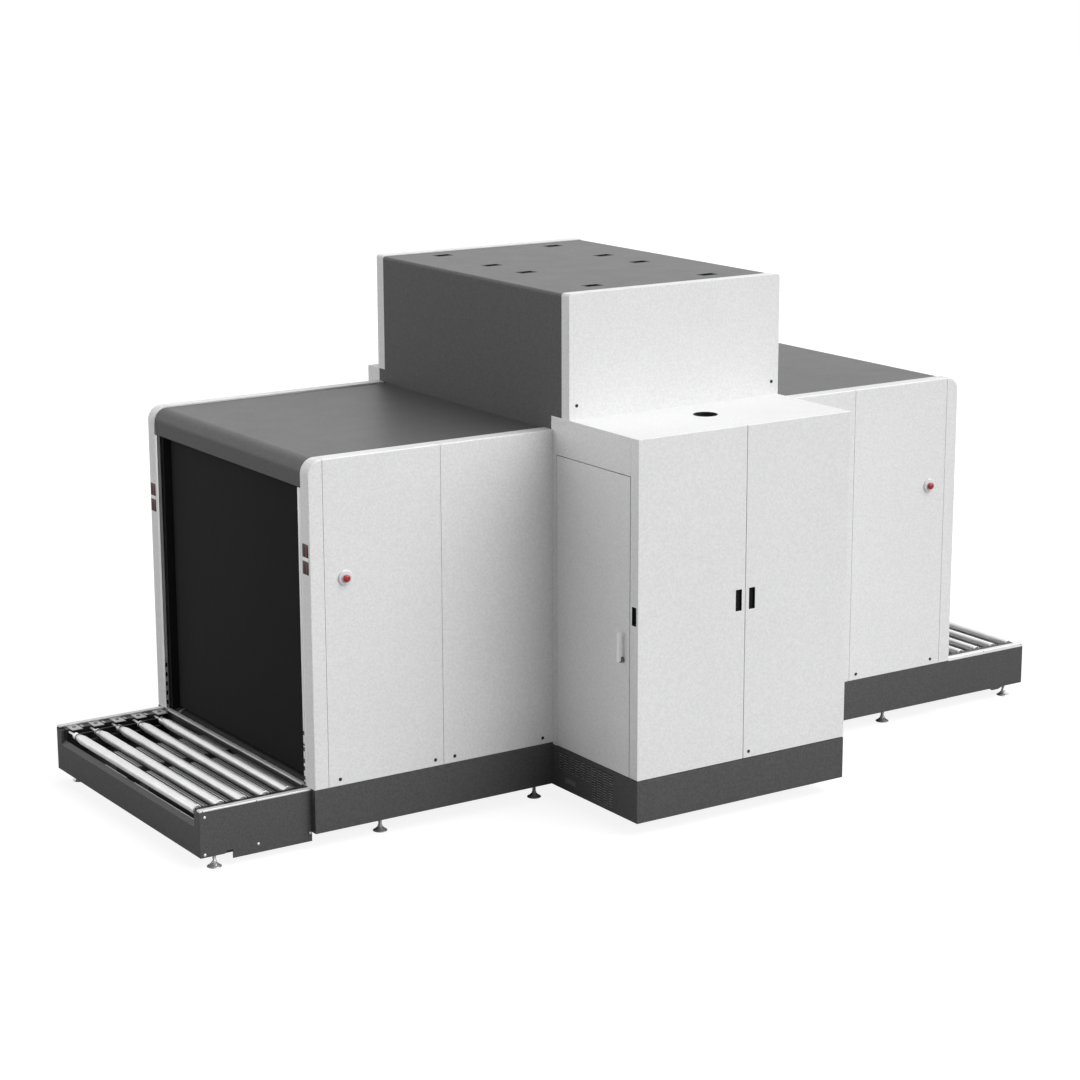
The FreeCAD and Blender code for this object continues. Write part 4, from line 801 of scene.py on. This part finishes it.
def make_side_plates():
    """Conveyor side plates; the exit's near one is plain with a deeper light edge."""
    plates = bmesh.new()
    faces = bmesh.new()
    low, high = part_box("conveyor_side_plates")
    flap, foot, top = low.z, low.z + 0.037, high.z
    start = CONVEYOR_X - 0.210
    notched = ((HOUSING_X, flap), (start, flap), (start, foot + 0.016),
               (start + 0.038, foot + 0.016), (start + 0.054, foot), (CONVEYOR_X, foot),
               (CONVEYOR_X, top), (HOUSING_X, top))
    face = top - 0.0125
    plain = ((HOUSING_X, foot), (2.905, foot), (2.925, foot - 0.014), (2.985, foot - 0.014),
             (3.020, foot), (CONVEYOR_X, foot), (CONVEYOR_X, face), (HOUSING_X, face))
    for _end, way in ENDS:
        for _side, hand in SIDES:
            y = sorted((AXIS_Y + hand * PLATE_REACH,
                        AXIS_Y + hand * (PLATE_REACH - PLATE_THICKNESS)))
            outline = plain if (way, hand) == PLAIN_PLATE else notched
            made = add_prism(bmesh.new(), [(way * x, z) for x, z in outline], y[0], y[1], "y")
            bmesh.ops.recalc_face_normals(made, faces=made.faces)
            bmesh.ops.bevel(made, geom=list(made.edges), offset=0.0012, segments=2,
                            profile=0.5, affect="EDGES", clamp_overlap=True)
            sheet = bpy.data.meshes.new("sheet")
            made.to_mesh(sheet)
            made.free()
            plates.from_mesh(sheet)
            bpy.data.meshes.remove(sheet)
    add_box(faces, (HOUSING_X, AXIS_Y - PLATE_REACH, face),
            (CONVEYOR_X, AXIS_Y - PLATE_REACH + PLATE_THICKNESS, top), 0.001)
    piece("side_plates_folded", plates, MATERIALS["dark_paint"], ROOT, 12,
          replaces=("conveyor_side_plates",))
    piece("exit_rail_face", faces, MATERIALS["edge_metal"], ROOT)


def make_cable_port():
    """A black sleeve with a floor in the cabinet top's round hole, painted shade that keeps the
    hole dark inside.
    """
    mesh = bmesh.new()
    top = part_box("cabinet_top")[1].z
    add_turned(mesh, (0.0, AXIS_Y - 1.527, top - 0.040), "z",
               [(0.0, 0.0), (0.0745, 0.0), (0.0745, 0.0400), (0.0745, 0.0415), (0.0700, 0.0425),
                (0.0690, 0.0400), (0.0690, 0.0060), (0.0200, 0.0050), (0.0, 0.0050)], 64)
    piece("cable_port_shade_sleeve", mesh, MATERIALS["black_plastic"], ROOT)


def make_vent_lips():
    """Lips under the vent slots of the cabinet's plinth, painted light as a highlight on the slots'
    lower edges.
    """
    mesh = bmesh.new()
    low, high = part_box("cabinet_plinth")
    columns, rows, short_columns, first_short_row = 10, 13, 6, 6
    back, bottom, width = 0.080, 0.034, 0.040
    column_pitch = (high.y - low.y - back - 0.250 - width) / (columns - 1)
    row_pitch = (high.z - low.z - bottom - 0.029 - 0.007) / (rows - 1)
    for column in range(columns):
        start = high.y - back - column * column_pitch
        for row in range(first_short_row if column < short_columns else 0, rows):
            under = low.z + bottom + row * row_pitch
            add_box(mesh, (low.x - 0.0012, start - width + 0.001, under - 0.0026),
                    (low.x + 0.0005, start - 0.001, under - 0.0002))
    piece("vent_lips", mesh, SHADES["vent_lip_highlight"], ROOT)


def make_plinth_plate():
    """The small pale plate between the vent slots."""
    mesh = bmesh.new()
    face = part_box("cabinet_plinth")[0].x
    add_box(mesh, (face - 0.0012, AXIS_Y - 1.298, 0.146), (face + 0.0005, AXIS_Y - 1.185, 0.178),
            0.0004)
    piece("plinth_plate", mesh, MATERIALS["grey_paint"], ROOT)


# Stage and light; each sun has the direction it shines from, its strength and its spread
FLOOR_SIZE = 60
FLOOR_LIGHT, FLOOR_TONE, FLOOR_BOUNCE, FLOOR_MIRRORED = 0.87, 0.24, 0.43, 0.30
AMBIENT = 0.16
KEY = ((0.472, -0.726, 0.500), 2.15, 60)
TOP = ((0.400, -0.200, 0.894), 1.85, 60)
FILL = ((-0.850, 0.400, 0.210), 1.28, 50)


def make_stage():
    """A plain pale floor that runs into a white background and keeps a soft shadow."""
    mesh = bmesh.new()
    mesh.faces.new([mesh.verts.new((x * FLOOR_SIZE, y * FLOOR_SIZE, 0))
                    for x, y in ((-1, -1), (1, -1), (1, 1), (-1, 1))])
    data = bpy.data.meshes.new("studio_floor")
    mesh.to_mesh(data)
    mesh.free()
    floor = bpy.data.objects.new("studio_floor", data)
    bpy.context.scene.collection.objects.link(floor)
    shader = Shader("studio_floor")
    path = shader.node("LightPath").outputs
    seen = shader.maths("MAXIMUM", path["Is Camera Ray"], path["Is Transmission Ray"])
    plain = shader.node("BsdfDiffuse", {"Color": shader.blend(
        path["Is Glossy Ray"], grey(FLOOR_BOUNCE), grey(FLOOR_MIRRORED))}).outputs["BSDF"]
    shown = shader.node("AddShader", {
        0: shader.node("BsdfDiffuse", {"Color": grey(FLOOR_TONE)}).outputs["BSDF"],
        1: shader.node("Emission", {"Color": grey(1.0), "Strength": FLOOR_LIGHT}).outputs[
            "Emission"]}).outputs["Shader"]
    mixed = shader.node("MixShader", {0: seen, 1: plain, 2: shown}).outputs["Shader"]
    shader.tree.links.new(mixed, shader.output.inputs["Surface"])
    data.materials.append(shader.material)

    world = bpy.data.worlds.new("studio")
    world.use_nodes = True
    tree = world.node_tree
    tree.nodes.clear()
    path = tree.nodes.new("ShaderNodeLightPath").outputs
    widest = None
    for name in ("Is Camera Ray", "Is Glossy Ray", "Is Transmission Ray"):
        if widest is None:
            widest = path[name]
            continue
        step = tree.nodes.new("ShaderNodeMath")
        step.operation = "MAXIMUM"
        tree.links.new(widest, step.inputs[0])
        tree.links.new(path[name], step.inputs[1])
        widest = step.outputs["Value"]
    white = tree.nodes.new("ShaderNodeBackground")
    white.inputs["Color"].default_value = grey(1.0)
    soft = tree.nodes.new("ShaderNodeBackground")
    soft.inputs["Color"].default_value = grey(1.0)
    soft.inputs["Strength"].default_value = AMBIENT
    chosen = tree.nodes.new("ShaderNodeMixShader")
    tree.links.new(widest, chosen.inputs[0])
    tree.links.new(soft.outputs["Background"], chosen.inputs[1])
    tree.links.new(white.outputs["Background"], chosen.inputs[2])
    output = tree.nodes.new("ShaderNodeOutputWorld")
    tree.links.new(chosen.outputs["Shader"], output.inputs["Surface"])
    bpy.context.scene.world = world


def make_sun(name, direction, strength, softness):
    """A soft light that shines from a direction."""
    data = bpy.data.lights.new(name, "SUN")
    data.energy = strength
    data.angle = math.radians(softness)
    lamp = bpy.data.objects.new(name, data)
    lamp.rotation_mode = "QUATERNION"
    lamp.rotation_quaternion = Vector(direction).to_track_quat("Z", "Y")
    bpy.context.scene.collection.objects.link(lamp)


# The scene
bpy.context.scene.view_settings.view_transform = "Standard"
make_camera()
make_stage()
make_sun("key_light", *KEY)
make_sun("top_light", *TOP)
make_sun("fill_light", *FILL)
dress_nodes()
make_rollers()
make_bands()
make_feet()
make_buttons()
make_curtains()
make_screws()
make_lamps()
make_mouth_edges()
make_bar_lips()
make_slats()
make_rail_plates()
make_slot_liners()
make_side_plates()
make_cable_port()
make_vent_lips()
make_plinth_plate()
